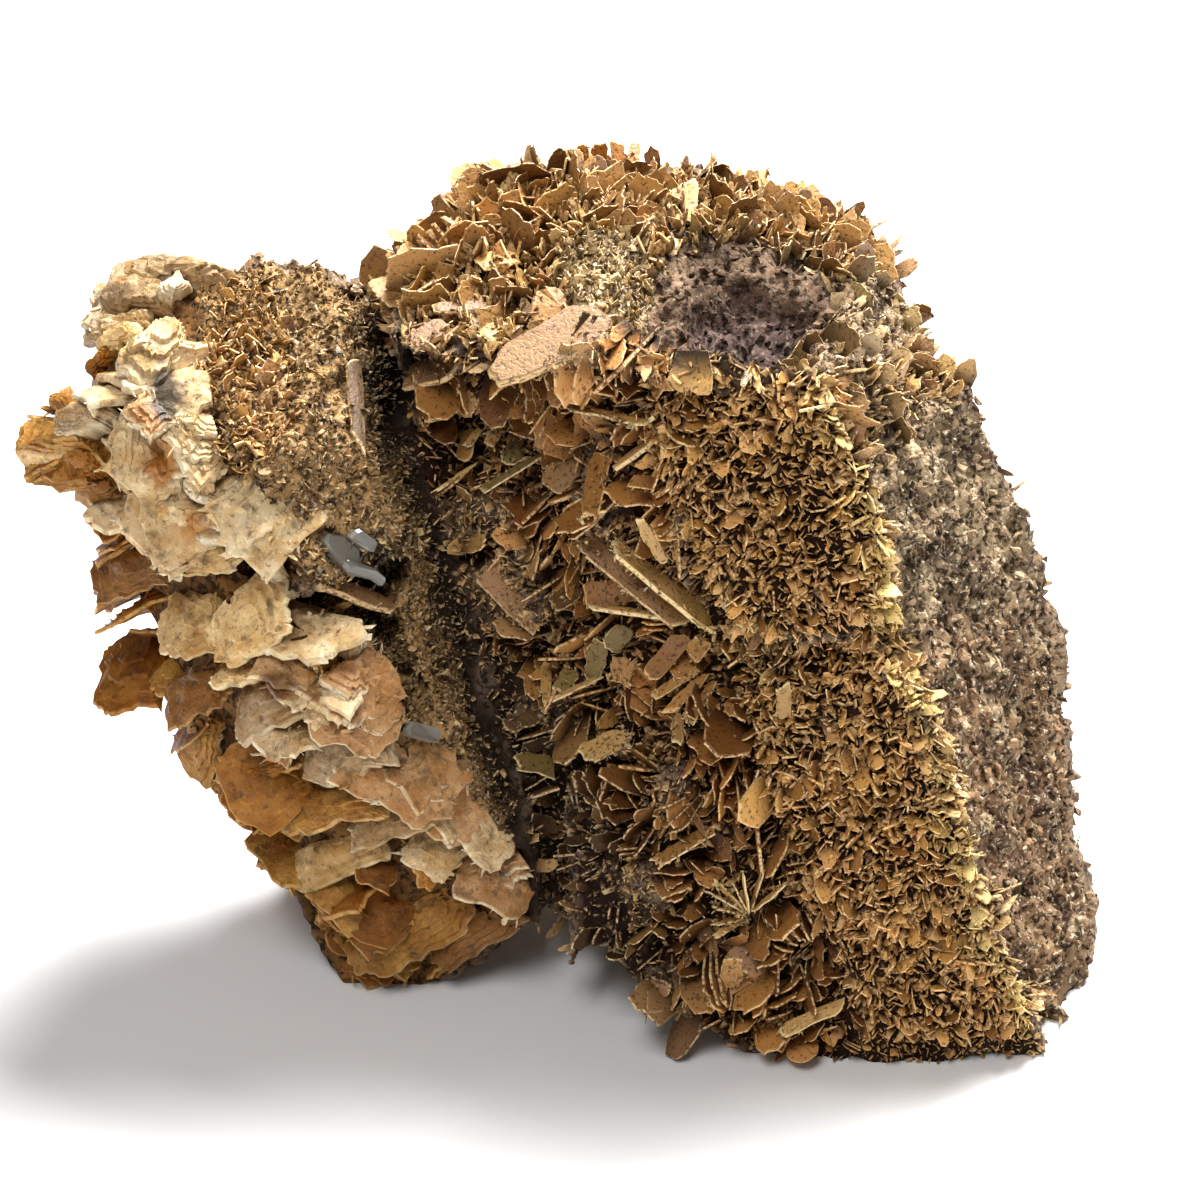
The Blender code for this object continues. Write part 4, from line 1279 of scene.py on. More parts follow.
    @staticmethod
    def keep(mesh: bpy.types.Mesh, surface: Surface) -> None:
        """Keeps the surface's zones, colours and facing as attributes of the rock's mesh."""
        for zone, share in surface.zones.items():
            PieceMesh.store(mesh, zone.value, share)
            PieceMesh.store(mesh, zone.clear_of_large, share * (1.0 - surface.cover))
        height = surface.points[:, 2]
        outwards = surface.facing.copy()
        outwards[:, 2] = np.maximum(outwards[:, 2], smooth(12.0, 3.0, height) * 1.3 - 1.0)
        PieceMesh.store(mesh, "outwards", outwards)
        stunted = 1.0 - 0.55 * smooth(8.0, 1.0, height)
        taller = 1.0 + 0.5 * DOME_SHOULDER.share(surface.column, surface.row)
        PieceMesh.store(mesh, "vigour", (1.0 + 0.45 * ripple(surface.points, 8.0, 6.0)) * stunted * taller)
        PieceMesh.store(mesh, "tone", surface.tone())
        PieceMesh.store(mesh, "crust", surface.crust_tone())
        flecked = surface.zones[Zone.BARE] * (1.0 - 0.8 * surface.patch(CRATER_MOUTH))
        flecked += surface.zones[Zone.LOBE_ROCK] * 0.6
        flecked += surface.zones[Zone.BACK] * 0.5
        PieceMesh.store(mesh, "flecked", np.clip(flecked, 0.0, 1.0))

    def build(self) -> tuple[bpy.types.Object, Surface]:
        """The shaped rock, and what its surface is like."""
        rock = self.fused()
        return rock, self.shape(rock)


class Habit(Enum):
    """The forms that small crystals take."""

    SHARD = "flat blade with a chisel end"
    PETAL = "broad, thin, curved blade"
    LATH = "long narrow blade"
    FLAKE = "ragged bent flake"
    CHIP = "blocky grain"


@dataclass(frozen=True)
class BladeForm:
    """The outline of a blade that is one unit long, in shares of its length.

    half_width is a range. crest holds the places across the blade of its free edge's corners, and drop
    is how far that edge falls at its ends. ragged is the edge's unevenness, bend the blade's bow, and
    notches the number of broken places to a side. A plain form is a splinter of a few corners.
    """

    half_width: Pair
    crest: tuple[float, ...]
    drop: float
    ragged: float
    bend: float
    inset: float = 0.95
    notches: int = 0
    plain: bool = False


BLADE_FORMS = {
    Habit.SHARD: BladeForm((0.15, 0.42), (-0.75, -0.10, 0.50), 0.26, 0.10, 0.05, notches=1),
    Habit.PETAL: BladeForm((0.42, 0.85), (-0.9, -0.45, 0.1, 0.65), 0.16, 0.14, 0.40, notches=1),
    Habit.LATH: BladeForm((0.07, 0.15), (-0.5, 0.4), 0.14, 0.06, 0.04, 0.88),
    Habit.FLAKE: BladeForm((0.16, 0.55), (-0.8, -0.35, 0.1, 0.7), 0.30, 0.22, 0.50, plain=True),
}


@dataclass(frozen=True)
class CrystalSet:
    """A few crystals of one habit, one unit high, that a scatter picks from.

    A crystal is a book of one to as many as `leaves` near-parallel blades.
    """

    habit: Habit
    variants: int
    thickness: float
    seed: int
    leaves: int = 1

    ROOT = -0.35
    CHIP_POINTS = 9

    def outline(self, chips: random.Random) -> list[Pair]:
        """The outline of one blade, across and up, from its root round and back."""
        form = BLADE_FORMS[self.habit]
        half = chips.uniform(*form.half_width)
        slant = chips.uniform(-0.28, 0.28)
        shoulders = [(-half, chips.uniform(0.30, 0.72)), (half, chips.uniform(0.30, 0.72))]
        crest = list(form.crest)
        if form.plain:
            crest = sorted(chips.sample(crest, chips.randint(1, 2)))
            shoulders = [spot if chips.random() < 0.45 else None for spot in shoulders]
        rim = [(-half * 0.7, self.ROOT), shoulders[0]]
        for share in crest:
            height = 0.97 - form.drop * share * share + slant * share
            rim.append((share * half, height + chips.uniform(-form.ragged, form.ragged)))
        rim += [shoulders[1], (half * 0.7, self.ROOT)]
        return self.broken([spot for spot in rim if spot is not None], form.notches, chips)

    @staticmethod
    def broken(rim: list[Pair], notches: int, chips: random.Random) -> list[Pair]:
        """The outline with some places along each side above the root broken back a little."""
        made = []
        for (x_0, y_0), (x_1, y_1) in zip(rim, rim[1:]):
            made.append((x_0, y_0))
            for share in sorted(chips.uniform(0.2, 0.8) for _ in range(notches)):
                made.append((x_0 + (x_1 - x_0) * share + chips.gauss(0.0, 0.03),
                             y_0 + (y_1 - y_0) * share + chips.gauss(-0.01, 0.04)))
        return made + rim[-1:]

    def leaf(self, chips: random.Random, corners: list, faces: list, off: float, lean: float,
             grow: float) -> None:
        """Adds one blade to a crystal.

        Args:
            chips: where its chance values come from.
            corners: takes each corner's place, rise, rim share and flat place.
            faces: takes its faces.
            off: how far it stands beside the crystal's middle.
            lean: how far its tip leans sideways.
            grow: its size against the crystal's first blade.
        """
        form = BLADE_FORMS[self.habit]
        rim = self.outline(chips)
        count, start = len(rim), len(corners)
        middle = (sum(x for x, _ in rim) / count, 0.42)
        bend = chips.uniform(-form.bend, form.bend)
        half = self.thickness * chips.uniform(0.7, 1.25) / 2.0

        def place(across: float, up: float, side: float, on_rim: float) -> None:
            """Adds one corner."""
            high = self.ROOT + (up - self.ROOT) * grow
            bow = bend * (across * across + 0.35 * up * up) + off + lean * (high - self.ROOT)
            corners.append(((side * half + bow, across * grow, high), min(max(high, 0.0), 1.0), on_rim,
                            (across, up)))

        if form.plain:
            for side in (-1.0, 1.0):
                for across, up in rim:
                    # A splinter's upper edge takes more of the pale rim: a painted highlight on its tip
                    place(across, up, side, 0.95 if up > 0.5 else 0.4)
            faces.append(tuple(range(start + count - 1, start - 1, -1)))
            faces.append(tuple(range(start + count, start + 2 * count)))
            for i in range(count):
                j = (i + 1) % count
                faces.append((start + i, start + j, start + count + j, start + count + i))
            return
        for side in (-1.0, 1.0):
            for across, up in rim:
                place(across, up, side * 0.55, 1.0)
            for across, up in rim:
                place(middle[0] + (across - middle[0]) * form.inset,
                      middle[1] + (up - middle[1]) * form.inset, side, 0.25)
            place(middle[0], middle[1], side * 1.08, 0.0)
        other = start + 2 * count + 1
        for i in range(count):
            j = (i + 1) % count
            faces.append((start + i, start + j, other + j, other + i))
            for base, flip in ((start, True), (other, False)):
                slope = (base + i, base + j, base + count + j, base + count + i)
                flat = (base + count + i, base + count + j, base + 2 * count)
                faces += [slope[::-1], flat[::-1]] if flip else [slope, flat]

    def flat_crystal(self, chips: random.Random) -> bpy.types.Mesh:
        """One crystal: a blade, or a book of near-parallel blades."""
        corners, faces = [], []
        self.leaf(chips, corners, faces, 0.0, 0.0, 1.0)
        for number in range(1, chips.randint(1, self.leaves)):
            side = 1.0 if number % 2 else -1.0
            off = side * self.thickness * chips.uniform(1.0, 2.2)
            lean, grow = side * chips.uniform(-0.05, 0.35), chips.uniform(0.45, 0.92)
            self.leaf(chips, corners, faces, off, lean, grow)
        return self.mesh_of(corners, faces)

    def chip(self, chips: random.Random) -> bpy.types.Mesh:
        """One blocky grain: the hull of a few chance points."""
        spots = [Vector(scattered(chips)).normalized() for _ in range(self.CHIP_POINTS)]
        form = hull([(spot.x * 0.42, spot.y * 0.5, 0.25 + spot.z * 0.5) for spot in spots])
        form.verts.index_update()
        corners = [(tuple(corner.co), 0.8, 0.2, (corner.co.y, corner.co.z)) for corner in form.verts]
        faces = [tuple(corner.index for corner in face.verts) for face in form.faces]
        form.free()
        return self.mesh_of(corners, faces)

    def mesh_of(self, corners: list, faces: list) -> bpy.types.Mesh:
        """A mesh with the attributes that a blade's finish reads, one unit of it being a millimetre."""
        places, rises, rims, flats = zip(*corners)
        mesh = bpy.data.meshes.new(self.habit.name.lower())
        mesh.from_pydata((np.array(places) * MM).tolist(), [], faces)
        PieceMesh.store(mesh, "rise", np.array(rises))
        PieceMesh.store(mesh, "rim", np.array(rims))
        layer = mesh.uv_layers.new(name="blade")
        for loop in mesh.loops:
            layer.data[loop.index].uv = Vector(flats[loop.vertex_index]) * MM * 4.0
        return mesh

    def collection(self) -> bpy.types.Collection:
        """The crystals, in a collection of their own."""
        chips = random.Random(self.seed)
        made = bpy.data.collections.new(f"{self.habit.name.lower()}_{self.seed}")
        for number in range(self.variants):
            mesh = self.chip(chips) if self.habit is Habit.CHIP else self.flat_crystal(chips)
            made.objects.link(bpy.data.objects.new(f"{made.name}_{number:02d}", mesh))
        return made


class ScatterTree:
    """A Geometry Nodes tree that grows crystals on the rock where a zone's share says."""

    INPUTS = (
        ("Rock", "NodeSocketGeometry"), ("Zone", "NodeSocketString"), ("Spacing", "NodeSocketFloat"),
        ("Density", "NodeSocketFloat"), ("Smallest", "NodeSocketFloat"), ("Largest", "NodeSocketFloat"),
        ("Lean", "NodeSocketFloat"), ("Seed", "NodeSocketInt"), ("Crystals", "NodeSocketCollection"),
        ("Finish", "NodeSocketMaterial"),
    )

    def __init__(self) -> None:
        """Builds the tree."""
        self.tree = bpy.data.node_groups.new("crystals_on_rock", "GeometryNodeTree")
        for name, kind in self.INPUTS:
            self.tree.interface.new_socket(name=name, in_out="INPUT", socket_type=kind)
        self.tree.interface.new_socket(name="Crystals", in_out="OUTPUT", socket_type="NodeSocketGeometry")
        self.wire()

    def chance(self, data_type: str, seed: object, low: object, high: object) -> bpy.types.NodeSocket:
        """A chance value for each point: a vector, or a number."""
        vector = data_type == "FLOAT_VECTOR"
        links = ((0 if vector else 2, low), (1 if vector else 3, high), ("Seed", seed))
        node = add(self.tree, "FunctionNodeRandomValue", links, data_type=data_type)
        return node.outputs[0 if vector else 1]

    def wire(self) -> None:
        """Adds the nodes."""
        tree = self.tree
        given = add(tree, "NodeGroupInput").outputs
        seeds = [
            add(tree, "FunctionNodeIntegerMath", ((0, given["Seed"]), (1, step)), operation="ADD").outputs[0]
            for step in range(1, 5)
        ]
        share = add(tree, "GeometryNodeInputNamedAttribute", (("Name", given["Zone"]),), data_type="FLOAT")
        spread = add(tree, "GeometryNodeDistributePointsOnFaces", (
            ("Mesh", given["Rock"]), ("Distance Min", given["Spacing"]), ("Density Max", given["Density"]),
            ("Density Factor", share.outputs[0]), ("Seed", given["Seed"])), distribute_method="POISSON")
        out = add(tree, "GeometryNodeInputNamedAttribute", (("Name", "outwards"),),
                  data_type="FLOAT_VECTOR").outputs[0]
        stray = self.chance("FLOAT_VECTOR", seeds[0], (-1.0, -1.0, -1.0), (1.0, 1.0, 1.0))
        lean = add(tree, "ShaderNodeVectorMath", ((0, stray), ("Scale", given["Lean"])),
                   operation="SCALE").outputs[0]
        points_to = add(tree, "ShaderNodeVectorMath", ((0, out), (1, lean)), operation="ADD").outputs[0]
        faces = self.chance("FLOAT_VECTOR", seeds[1], (-1.0, -1.0, -1.0), (1.0, 1.0, 1.0))
        turned = add(tree, "FunctionNodeAxesToRotation", ((0, points_to), (1, faces)),
                     primary_axis="Z", secondary_axis="X").outputs[0]
        vigour = add(tree, "GeometryNodeInputNamedAttribute", (("Name", "vigour"),),
                     data_type="FLOAT").outputs[0]
        size = self.chance("FLOAT", seeds[2], given["Smallest"], given["Largest"])
        size = add(tree, "ShaderNodeMath", ((0, size), (1, vigour)), operation="MULTIPLY").outputs[0]
        source = add(tree, "GeometryNodeCollectionInfo", (
            ("Collection", given["Crystals"]), ("Separate Children", True), ("Reset Children", True)))
        grown = add(tree, "GeometryNodeInstanceOnPoints", (
            ("Points", spread.outputs["Points"]), ("Instance", source.outputs[0]), ("Pick Instance", True),
            ("Rotation", turned), ("Scale", size)))
        tint = self.chance("FLOAT", seeds[3], 0.0, 1.0)
        tinted = add(tree, "GeometryNodeStoreNamedAttribute", (
            ("Geometry", grown.outputs[0]), ("Name", "tint"), ("Value", tint)),
            data_type="FLOAT", domain="INSTANCE")
        real = add(tree, "GeometryNodeRealizeInstances", (("Geometry", tinted.outputs[0]),))
        dressed = add(tree, "GeometryNodeSetMaterial", (
            ("Geometry", real.outputs[0]), ("Material", given["Finish"])))
        add(tree, "NodeGroupOutput", ((0, dressed.outputs[0]),))

    def socket(self, name: str) -> str:
        """The identifier of the input with a name."""
        inputs = (item for item in self.tree.interface.items_tree if item.in_out == "INPUT")
        return next(item.identifier for item in inputs if item.name == name)


@dataclass(frozen=True)
class Growth:
    """Small crystals scattered over one zone of the rock. Sizes and spacing are in millimetres."""

    name: str
    zone: Zone
    habit: Habit
    spacing: float
    smallest: float
    largest: float
    lean: float
    seed: int
    thickness: float = 0.10
    variants: int = 12
    leaves: int = 1
    slot: Slot = Slot.TAN

    # Crystals longer than this, in millimetres, keep clear of those that are placed one by one
    LARGE = 3.4
    # How many times as many points are tried as fit at their spacing
    CROWDING = 2.2

    def build(self, rock: bpy.types.Object, scatter: ScatterTree, finishes: Finishes) -> bpy.types.Object:
        """Grows the crystals.

        Args:
            rock: what they grow on, with its zones.
            scatter: the tree that places them.
            finishes: the material of each slot.

        Returns:
            The crystals as one plain mesh.
        """
        piece = linked(self.name, rock.data.copy())
        source = CrystalSet(self.habit, self.variants, self.thickness, self.seed, self.leaves).collection()
        grow = piece.modifiers.new("grow", "NODES")
        grow.node_group = scatter.tree
        area_m2 = (self.spacing * MM) ** 2
        given = {
            "Zone": self.zone.clear_of_large if self.largest > self.LARGE else self.zone.value,
            "Spacing": self.spacing * MM, "Density": self.CROWDING / area_m2,
            "Smallest": self.smallest, "Largest": self.largest, "Lean": self.lean, "Seed": self.seed,
            "Crystals": source, "Finish": finishes[self.slot],
        }
        for name, value in given.items():
            grow[scatter.socket(name)] = value
        PieceMesh.evaluate(piece)
        for member in list(source.objects):
            bpy.data.objects.remove(member)
        bpy.data.collections.remove(source)
        PieceMesh.finish(piece, self.slot)
        return piece


GROWTHS = (
    Growth("dome_blades", Zone.DOME, Habit.PETAL, 2.5, 2.6, 4.8, 0.55, seed=11, thickness=0.05, variants=24),
    Growth("dome_shards", Zone.DOME, Habit.SHARD, 2.2, 2.2, 4.6, 0.8, seed=13, thickness=0.07, variants=20),
    Growth("dome_splinters", Zone.DOME, Habit.FLAKE, 0.9, 0.8, 3.0, 0.8, seed=12, variants=30),
    Growth("coarse_blades", Zone.COARSE, Habit.SHARD, 3.8, 5.5, 9.5, 0.5, seed=21, thickness=0.055,
           variants=30, leaves=4),
    Growth("coarse_small_blades", Zone.COARSE, Habit.SHARD, 2.4, 3.0, 6.5, 0.65, seed=22, thickness=0.065,
           variants=24, leaves=2),
    Growth("coarse_laths", Zone.COARSE, Habit.LATH, 3.8, 4.0, 9.0, 0.9, seed=23, thickness=0.05),
    Growth("coarse_splinters", Zone.COARSE, Habit.FLAKE, 0.8, 0.6, 2.6, 0.9, seed=24, variants=30),
    Growth("fine_splinters", Zone.FINE, Habit.FLAKE, 0.62, 0.8, 2.7, 0.85, seed=31, variants=30),
    Growth("fine_shards", Zone.FINE, Habit.SHARD, 2.1, 2.2, 4.2, 0.6, seed=32, thickness=0.08, variants=20),
    Growth("edge_splinters", Zone.EDGE, Habit.FLAKE, 0.75, 0.8, 2.2, 0.9, seed=33, variants=24),
    Growth("dim_blades", Zone.DIM, Habit.SHARD, 3.0, 2.5, 5.5, 0.7, seed=41, thickness=0.08, leaves=2),
    Growth("rubble_splinters", Zone.RUBBLE, Habit.FLAKE, 0.65, 0.4, 1.7, 1.0, seed=42, variants=24),
    Growth("chalky_splinters", Zone.CHALK, Habit.FLAKE, 0.55, 0.5, 1.7, 1.0, seed=43, variants=24),
    Growth("lobe_splinters", Zone.LOBE_FLAKES, Habit.FLAKE, 0.7, 0.7, 2.4, 0.95, seed=51, variants=24),
    Growth("lobe_petals", Zone.LOBE_FLAKES, Habit.PETAL, 2.7, 1.4, 2.8, 0.8, seed=53, thickness=0.08),
    Growth("lobe_crumbs", Zone.LOBE_ROCK, Habit.FLAKE, 0.85, 0.4, 1.4, 1.0, seed=52, variants=24),
    Growth("back_blades", Zone.BACK, Habit.SHARD, 7.5, 2.0, 4.5, 0.9, seed=61, thickness=0.10, variants=16),
    Growth("bare_grit", Zone.BARE, Habit.CHIP, 1.6, 0.5, 2.4, 0.9, seed=71, slot=Slot.MATRIX),
    Growth("lobe_grit", Zone.LOBE_ROCK, Habit.CHIP, 0.95, 0.4, 1.4, 0.9, seed=72, slot=Slot.MATRIX),
    Growth("back_grit", Zone.BACK, Habit.CHIP, 2.8, 0.8, 2.6, 0.9, seed=73, slot=Slot.MATRIX),
)

CRUMBS = (
    Growth("honey_crumbs", Zone.CRUMBS, Habit.FLAKE, 1.5, 0.5, 1.8, 0.8, seed=81, slot=Slot.HONEY),
    Growth("cream_crumbs", Zone.CRUMBS, Habit.FLAKE, 1.2, 0.5, 1.8, 0.8, seed=82, slot=Slot.CREAM),
    Growth("blade_crumbs", Zone.CRUMBS, Habit.FLAKE, 0.6, 0.4, 1.4, 0.9, seed=83),
)


@dataclass(frozen=True)
class PlateSizes:
    """The sizes of a large plate in millimetres.

    saw is the depth of its edge's teeth, dish how far its edge curls back, steps the height of the
    growth terraces on its broad side, and crumple how uneven that side is.
    """

    across: float
    along: float
    thickness: float
    dish: float = 1.0
    saw: float = 0.35
    steps: float = 0.3
    crumple: float = 0.35


class PlateForm:
    """Makes large plates with toothed edges and terraced sides, as arrays."""

    BEVEL_MM = 0.14

    def __init__(self, turns: int = 40, terraces: tuple[float, ...] = (0.80, 0.52),
                 back: tuple[float, ...] = (0.60,)) -> None:
        """Starts with no plates.

        Args:
            turns: how many corners the edge has, a multiple of eight.
            terraces: how far out each growth terrace of the broad side ends.
            back: how far out each inner ring of the plain side is.
        """
        self.turns, self.terraces, self.back = turns, terraces, back
        self.points: list[np.ndarray] = []
        self.faces: list[tuple[int, ...]] = []
        self.tones: list[np.ndarray] = []
        self.rims: list[np.ndarray] = []
        self.tints: list[np.ndarray] = []
        self.flats: list[np.ndarray] = []
        self.count = 0

    def outline(self, sizes: PlateSizes, chips: random.Random) -> np.ndarray:
        """The edge of a tabular crystal: a rectangle with cut corners, toothed like a saw."""
        wide, long = sizes.across / 2.0, sizes.along / 2.0
        corners = []
        for x_way, y_way in ((1, -1), (1, 1), (-1, 1), (-1, -1)):
            cut_x, cut_y = chips.uniform(0.1, 0.7) * wide, chips.uniform(0.1, 0.5) * long
            pair = [(x_way * wide, y_way * (long - cut_y)), (x_way * (wide - cut_x), y_way * long)]
            corners += pair if x_way * y_way > 0 else pair[::-1]
        ring = np.array(corners)
        ring *= np.array([(chips.uniform(0.7, 1.05), chips.uniform(0.7, 1.05)) for _ in corners])
        ring = np.concatenate((ring, ring[:1]))
        walked = np.concatenate(((0.0,), np.cumsum(np.linalg.norm(np.diff(ring, axis=0), axis=1))))
        each = self.turns // len(corners)
        at = np.concatenate([np.linspace(a, b, each, endpoint=False) for a, b in zip(walked, walked[1:])])
        edge = np.stack((np.interp(at, walked, ring[:, 0]), np.interp(at, walked, ring[:, 1])), 1)
        place = np.stack((at, np.full(len(at), 9.0 * len(self.points)), np.zeros(len(at))), 1)
        lobes = np.column_stack((edge / np.linalg.norm(edge, axis=1)[:, None], place[:, 1]))
        edge *= 1.0 + 0.25 * sizes.saw * ripple(lobes, 0.8)[:, None]
        tooth = (at / (2.2 + 2.0 * sizes.saw) + 0.8 * ripple(place, 4.0)) % 1.0
        teeth = np.where(tooth < 0.7, tooth / 0.7, (1.0 - tooth) / 0.3) - 0.6
        teeth += np.array([chips.uniform(-0.5, 0.5) for _ in at])
        return edge * (1.0 + sizes.saw * teeth / np.maximum(np.linalg.norm(edge, axis=1), 0.3))[:, None]

    def rings(self, sizes: PlateSizes) -> tuple[tuple[Triple, ...], ...]:
        """The rings of the terraced side and of the plain one: share of the way out, height and rim."""
        bevel = 1.0 - min(2.0 * self.BEVEL_MM / min(sizes.across, sizes.along), 0.35)
        half = sizes.thickness / 2.0
        front = [(1.0, 0.5 * half, 1.0), (bevel, half, 0.3)]
        for number, share in enumerate(self.terraces):
            foot, top = half + number * sizes.steps, half + (number + 1) * sizes.steps
            front += [(share, foot, 0.0), (share - 0.03, top, 0.3)]
        back = [(1.0, -0.5 * half, 1.0), (bevel, -half, 0.3)] + [(share, -half, 0.0) for share in self.back]
        return tuple(front), tuple(back)

    def shape(self, sizes: PlateSizes, chips: random.Random) -> tuple[np.ndarray, np.ndarray]:
        """One plate lying flat: its corners, and how near the thin edge each is."""
        edge = self.outline(sizes, chips)
        slide = np.array((chips.uniform(-0.2, 0.2) * sizes.across, -chips.uniform(0.05, 0.35) * sizes.along))
        mean_edge = edge / np.linalg.norm(edge, axis=1)[:, None] * np.linalg.norm(edge, axis=1).mean()
        layers, rims = [], []
        for side in self.rings(sizes):
            for share, height, rim in side:
                calm = 0.35 * (1.0 - share)
                ring = (edge * (1.0 - calm) + mean_edge * calm) * share + slide * (1.0 - share)
                ring *= 1.0 + (share < 0.88) * 0.05 * np.array([[chips.uniform(-1.0, 1.0)] for _ in edge])
                layers.append(np.column_stack((ring, np.full(len(ring), height))))
                rims.append(np.full(len(ring), rim))
            layers.append(np.array(((slide[0], slide[1], side[-1][1]),)))
            rims.append(np.zeros(1))
        return np.concatenate(layers), np.concatenate(rims)

    def add(self, centre: Vector, points_to: Vector, faces: Vector, sizes: PlateSizes, tones: PlateTones,
            chips: random.Random, within: BVHTree | None = None) -> None:
        """Adds a plate.

        Args:
            centre: its middle, in millimetres.
            points_to: the way its free edge points.
            faces: the way its broad, terraced side faces.
            sizes: how large it is.
            tones: its colours.
            chips: where its chance values come from.
            within: a body in metres that the plate is drawn back into where it would stand out of it.
        """
        up = Vector(points_to).normalized()
        out = (Vector(faces) - up * Vector(faces).dot(up)).normalized()
        local, rims = self.shape(sizes, chips)
        across, length = local[:, 0] / sizes.across, local[:, 1] / sizes.along
        crumple = local * np.array((1.0, 1.0, 0.0)) + 17.0 * len(self.points)
        local[:, 2] += sizes.crumple * (ripple(crumple, 4.0) + 0.4 * ripple(crumple, 1.6))
        bowl = across ** 2 + length ** 2 - chips.uniform(-0.8, 0.8) * across * length
        local[:, 2] -= 2.0 * sizes.dish * bowl
        placed = np.array(centre) + local @ np.array((up.cross(out), up, out))
        if within is not None:
            placed += self.drawn_back(placed, within)
            placed += self.kept_in_outline(placed)
        body, edge = np.array(linear(tones.body)), np.array(linear(tones.edge))
        self.points.append(placed)
        # The thin edge takes the lighter edge colour: partly a painted highlight where it catches the light
        self.tones.append(body + (edge - body) * (rims > 0.9)[:, None])
        self.rims.append(rims)
        self.tints.append(np.full(len(local), chips.uniform(0.4, 0.9)))
        self.flats.append(local[:, :2])
        self.sew(2 + 2 * len(self.terraces), 2 + len(self.back))
        self.count += len(local)

    def drawn_back(self, placed: np.ndarray, within: BVHTree, allowed: float = 1.6) -> np.ndarray:
        """How far a plate moves so that its edge stands no more than so many millimetres out of a body."""
        worst, move = allowed, np.zeros(3)
        for point in placed[:self.turns:3]:
            near, facing, _, _ = within.find_nearest(Vector(point) * MM)
            out = (Vector(point) - near / MM).dot(facing)
            if out > worst:
                worst, move = out, -np.array(facing) * (out - allowed)
        return move

    @staticmethod
    def kept_in_outline(placed: np.ndarray) -> np.ndarray:
        """How far a plate moves right and up so that it stays inside the lobe's outline in the photograph."""
        column, row = VIEW.pixels(placed)
        over = max(float(np.max(along(LOBE_SIDE, row) - column)) - 3.0, 0.0)
        under = max(float(np.max(row - along(LOBE_FOOT, column))) - 3.0, 0.0)
        return np.array(VIEW.direction(over, under, 0.0)) * VIEW.mm_per_px

    def stained(self) -> np.ndarray:
        """The plates' colours, with the dark and the amber spots that the photograph shows: painted shade in
        a pit, the cups and the recess.
        """
        tones = np.concatenate(self.tones)
        column, row = VIEW.pixels(np.concatenate(self.points))
        for blot, code in DARK_AND_AMBER_SPOTS:
            share = 0.9 * blot.share(column, row)[:, None]
            tones = tones * (1.0 - share) + np.array(linear(code)) * share
        return tones

    def sew(self, front: int, back: int) -> None:
        """Adds the faces of the plate whose corners come next."""
        n = self.turns
        upper, lower = self.count, self.count + front * n + 1
        for i in range(n):
            j = (i + 1) % n
            self.faces.append((lower + i, lower + j, upper + j, upper + i))
            for base, rings, flip in ((upper, front, False), (lower, back, True)):
                made = [(base + r * n + i, base + r * n + j, base + (r + 1) * n + j, base + (r + 1) * n + i)
                        for r in range(rings - 1)]
                made.append((base + (rings - 1) * n + i, base + (rings - 1) * n + j, base + rings * n))
                self.faces += [face[::-1] for face in made] if flip else made

    def object(self, name: str, even: bool = True) -> bpy.types.Object:
        """All the plates as one object, smooth where even."""
        made = PieceMesh.from_arrays(name, np.concatenate(self.points), self.faces)
        mesh = made.data
        PieceMesh.store(mesh, "crust", self.stained())
        PieceMesh.store(mesh, "rim", np.concatenate(self.rims))
        PieceMesh.store(mesh, "tint", np.concatenate(self.tints))
        PieceMesh.store(mesh, "rise", np.ones(self.count))
        flats = np.concatenate(self.flats) * MM
        layer = mesh.uv_layers.new(name="blade")
        corner = np.empty(len(mesh.loops), np.int32)
        mesh.loops.foreach_get("vertex_index", corner)
        layer.data.foreach_set("uv", flats[corner].astype(np.float32).ravel())
        if even:
            mesh.shade_smooth()
            mesh.set_sharp_from_angle(angle=math.radians(32.0))
        return made


def solid_tree() -> BVHTree:
    """The solid that the dressed specimen keeps to, ready to be asked for its nearest place."""
    solid = frame["nodes"][NODE]
    corners = [solid.matrix_world @ corner.co for corner in solid.data.vertices]
    return BVHTree.FromPolygons(corners, [tuple(face.vertices) for face in solid.data.polygons])


class Sight:
    """Finds how far the rock is behind a pixel of the photograph."""

    TRIES = 3
    # How far back a crystal's far end may lie behind its near one, for each millimetre between the two
    # in the photograph
    STEEPEST = 0.7

    def __init__(self, rock: bpy.types.Object) -> None:
        """Takes the shaped rock."""
        self.tree = BVHTree.FromObject(rock, bpy.context.evaluated_depsgraph_get())

    def place(self, at_px: Pair, lift: float) -> Vector:
        """The place behind a pixel that stands in front of the rock.

        Args:
            at_px: the pixel.
            lift: how far it stands in front, in millimetres.

        Returns:
            The place in millimetres. Beside the rock it is as far away as the rock nearest to it.
        """
        eye, way = VIEW.ray(*at_px)
        hit = self.tree.ray_cast(eye * MM, way)[0]
        if hit is not None:
            return eye + way * ((hit / MM - eye).length - lift)
        depth = eye.length
        for _ in range(self.TRIES):
            beside = self.tree.find_nearest((eye + way * depth) * MM)[0] / MM
            depth = (beside - eye).dot(way)
        return eye + way * (depth - lift)

    def span(self, item: Feature) -> tuple[Vector, Vector]:
        """A large crystal's root and tip, neither of them far behind the other."""
        eye = Vector(VIEW.location_mm)
        root = self.place(item.root_px, item.lifts_mm[0]) - eye
        tip = self.place(item.tip_px, item.lifts_mm[1]) - eye
        room = math.dist(item.root_px, item.tip_px) * VIEW.mm_per_px * self.STEEPEST
        far = min(root.length, tip.length) + room
        return eye + root.normalized() * min(root.length, far), eye + tip.normalized() * min(tip.length, far)


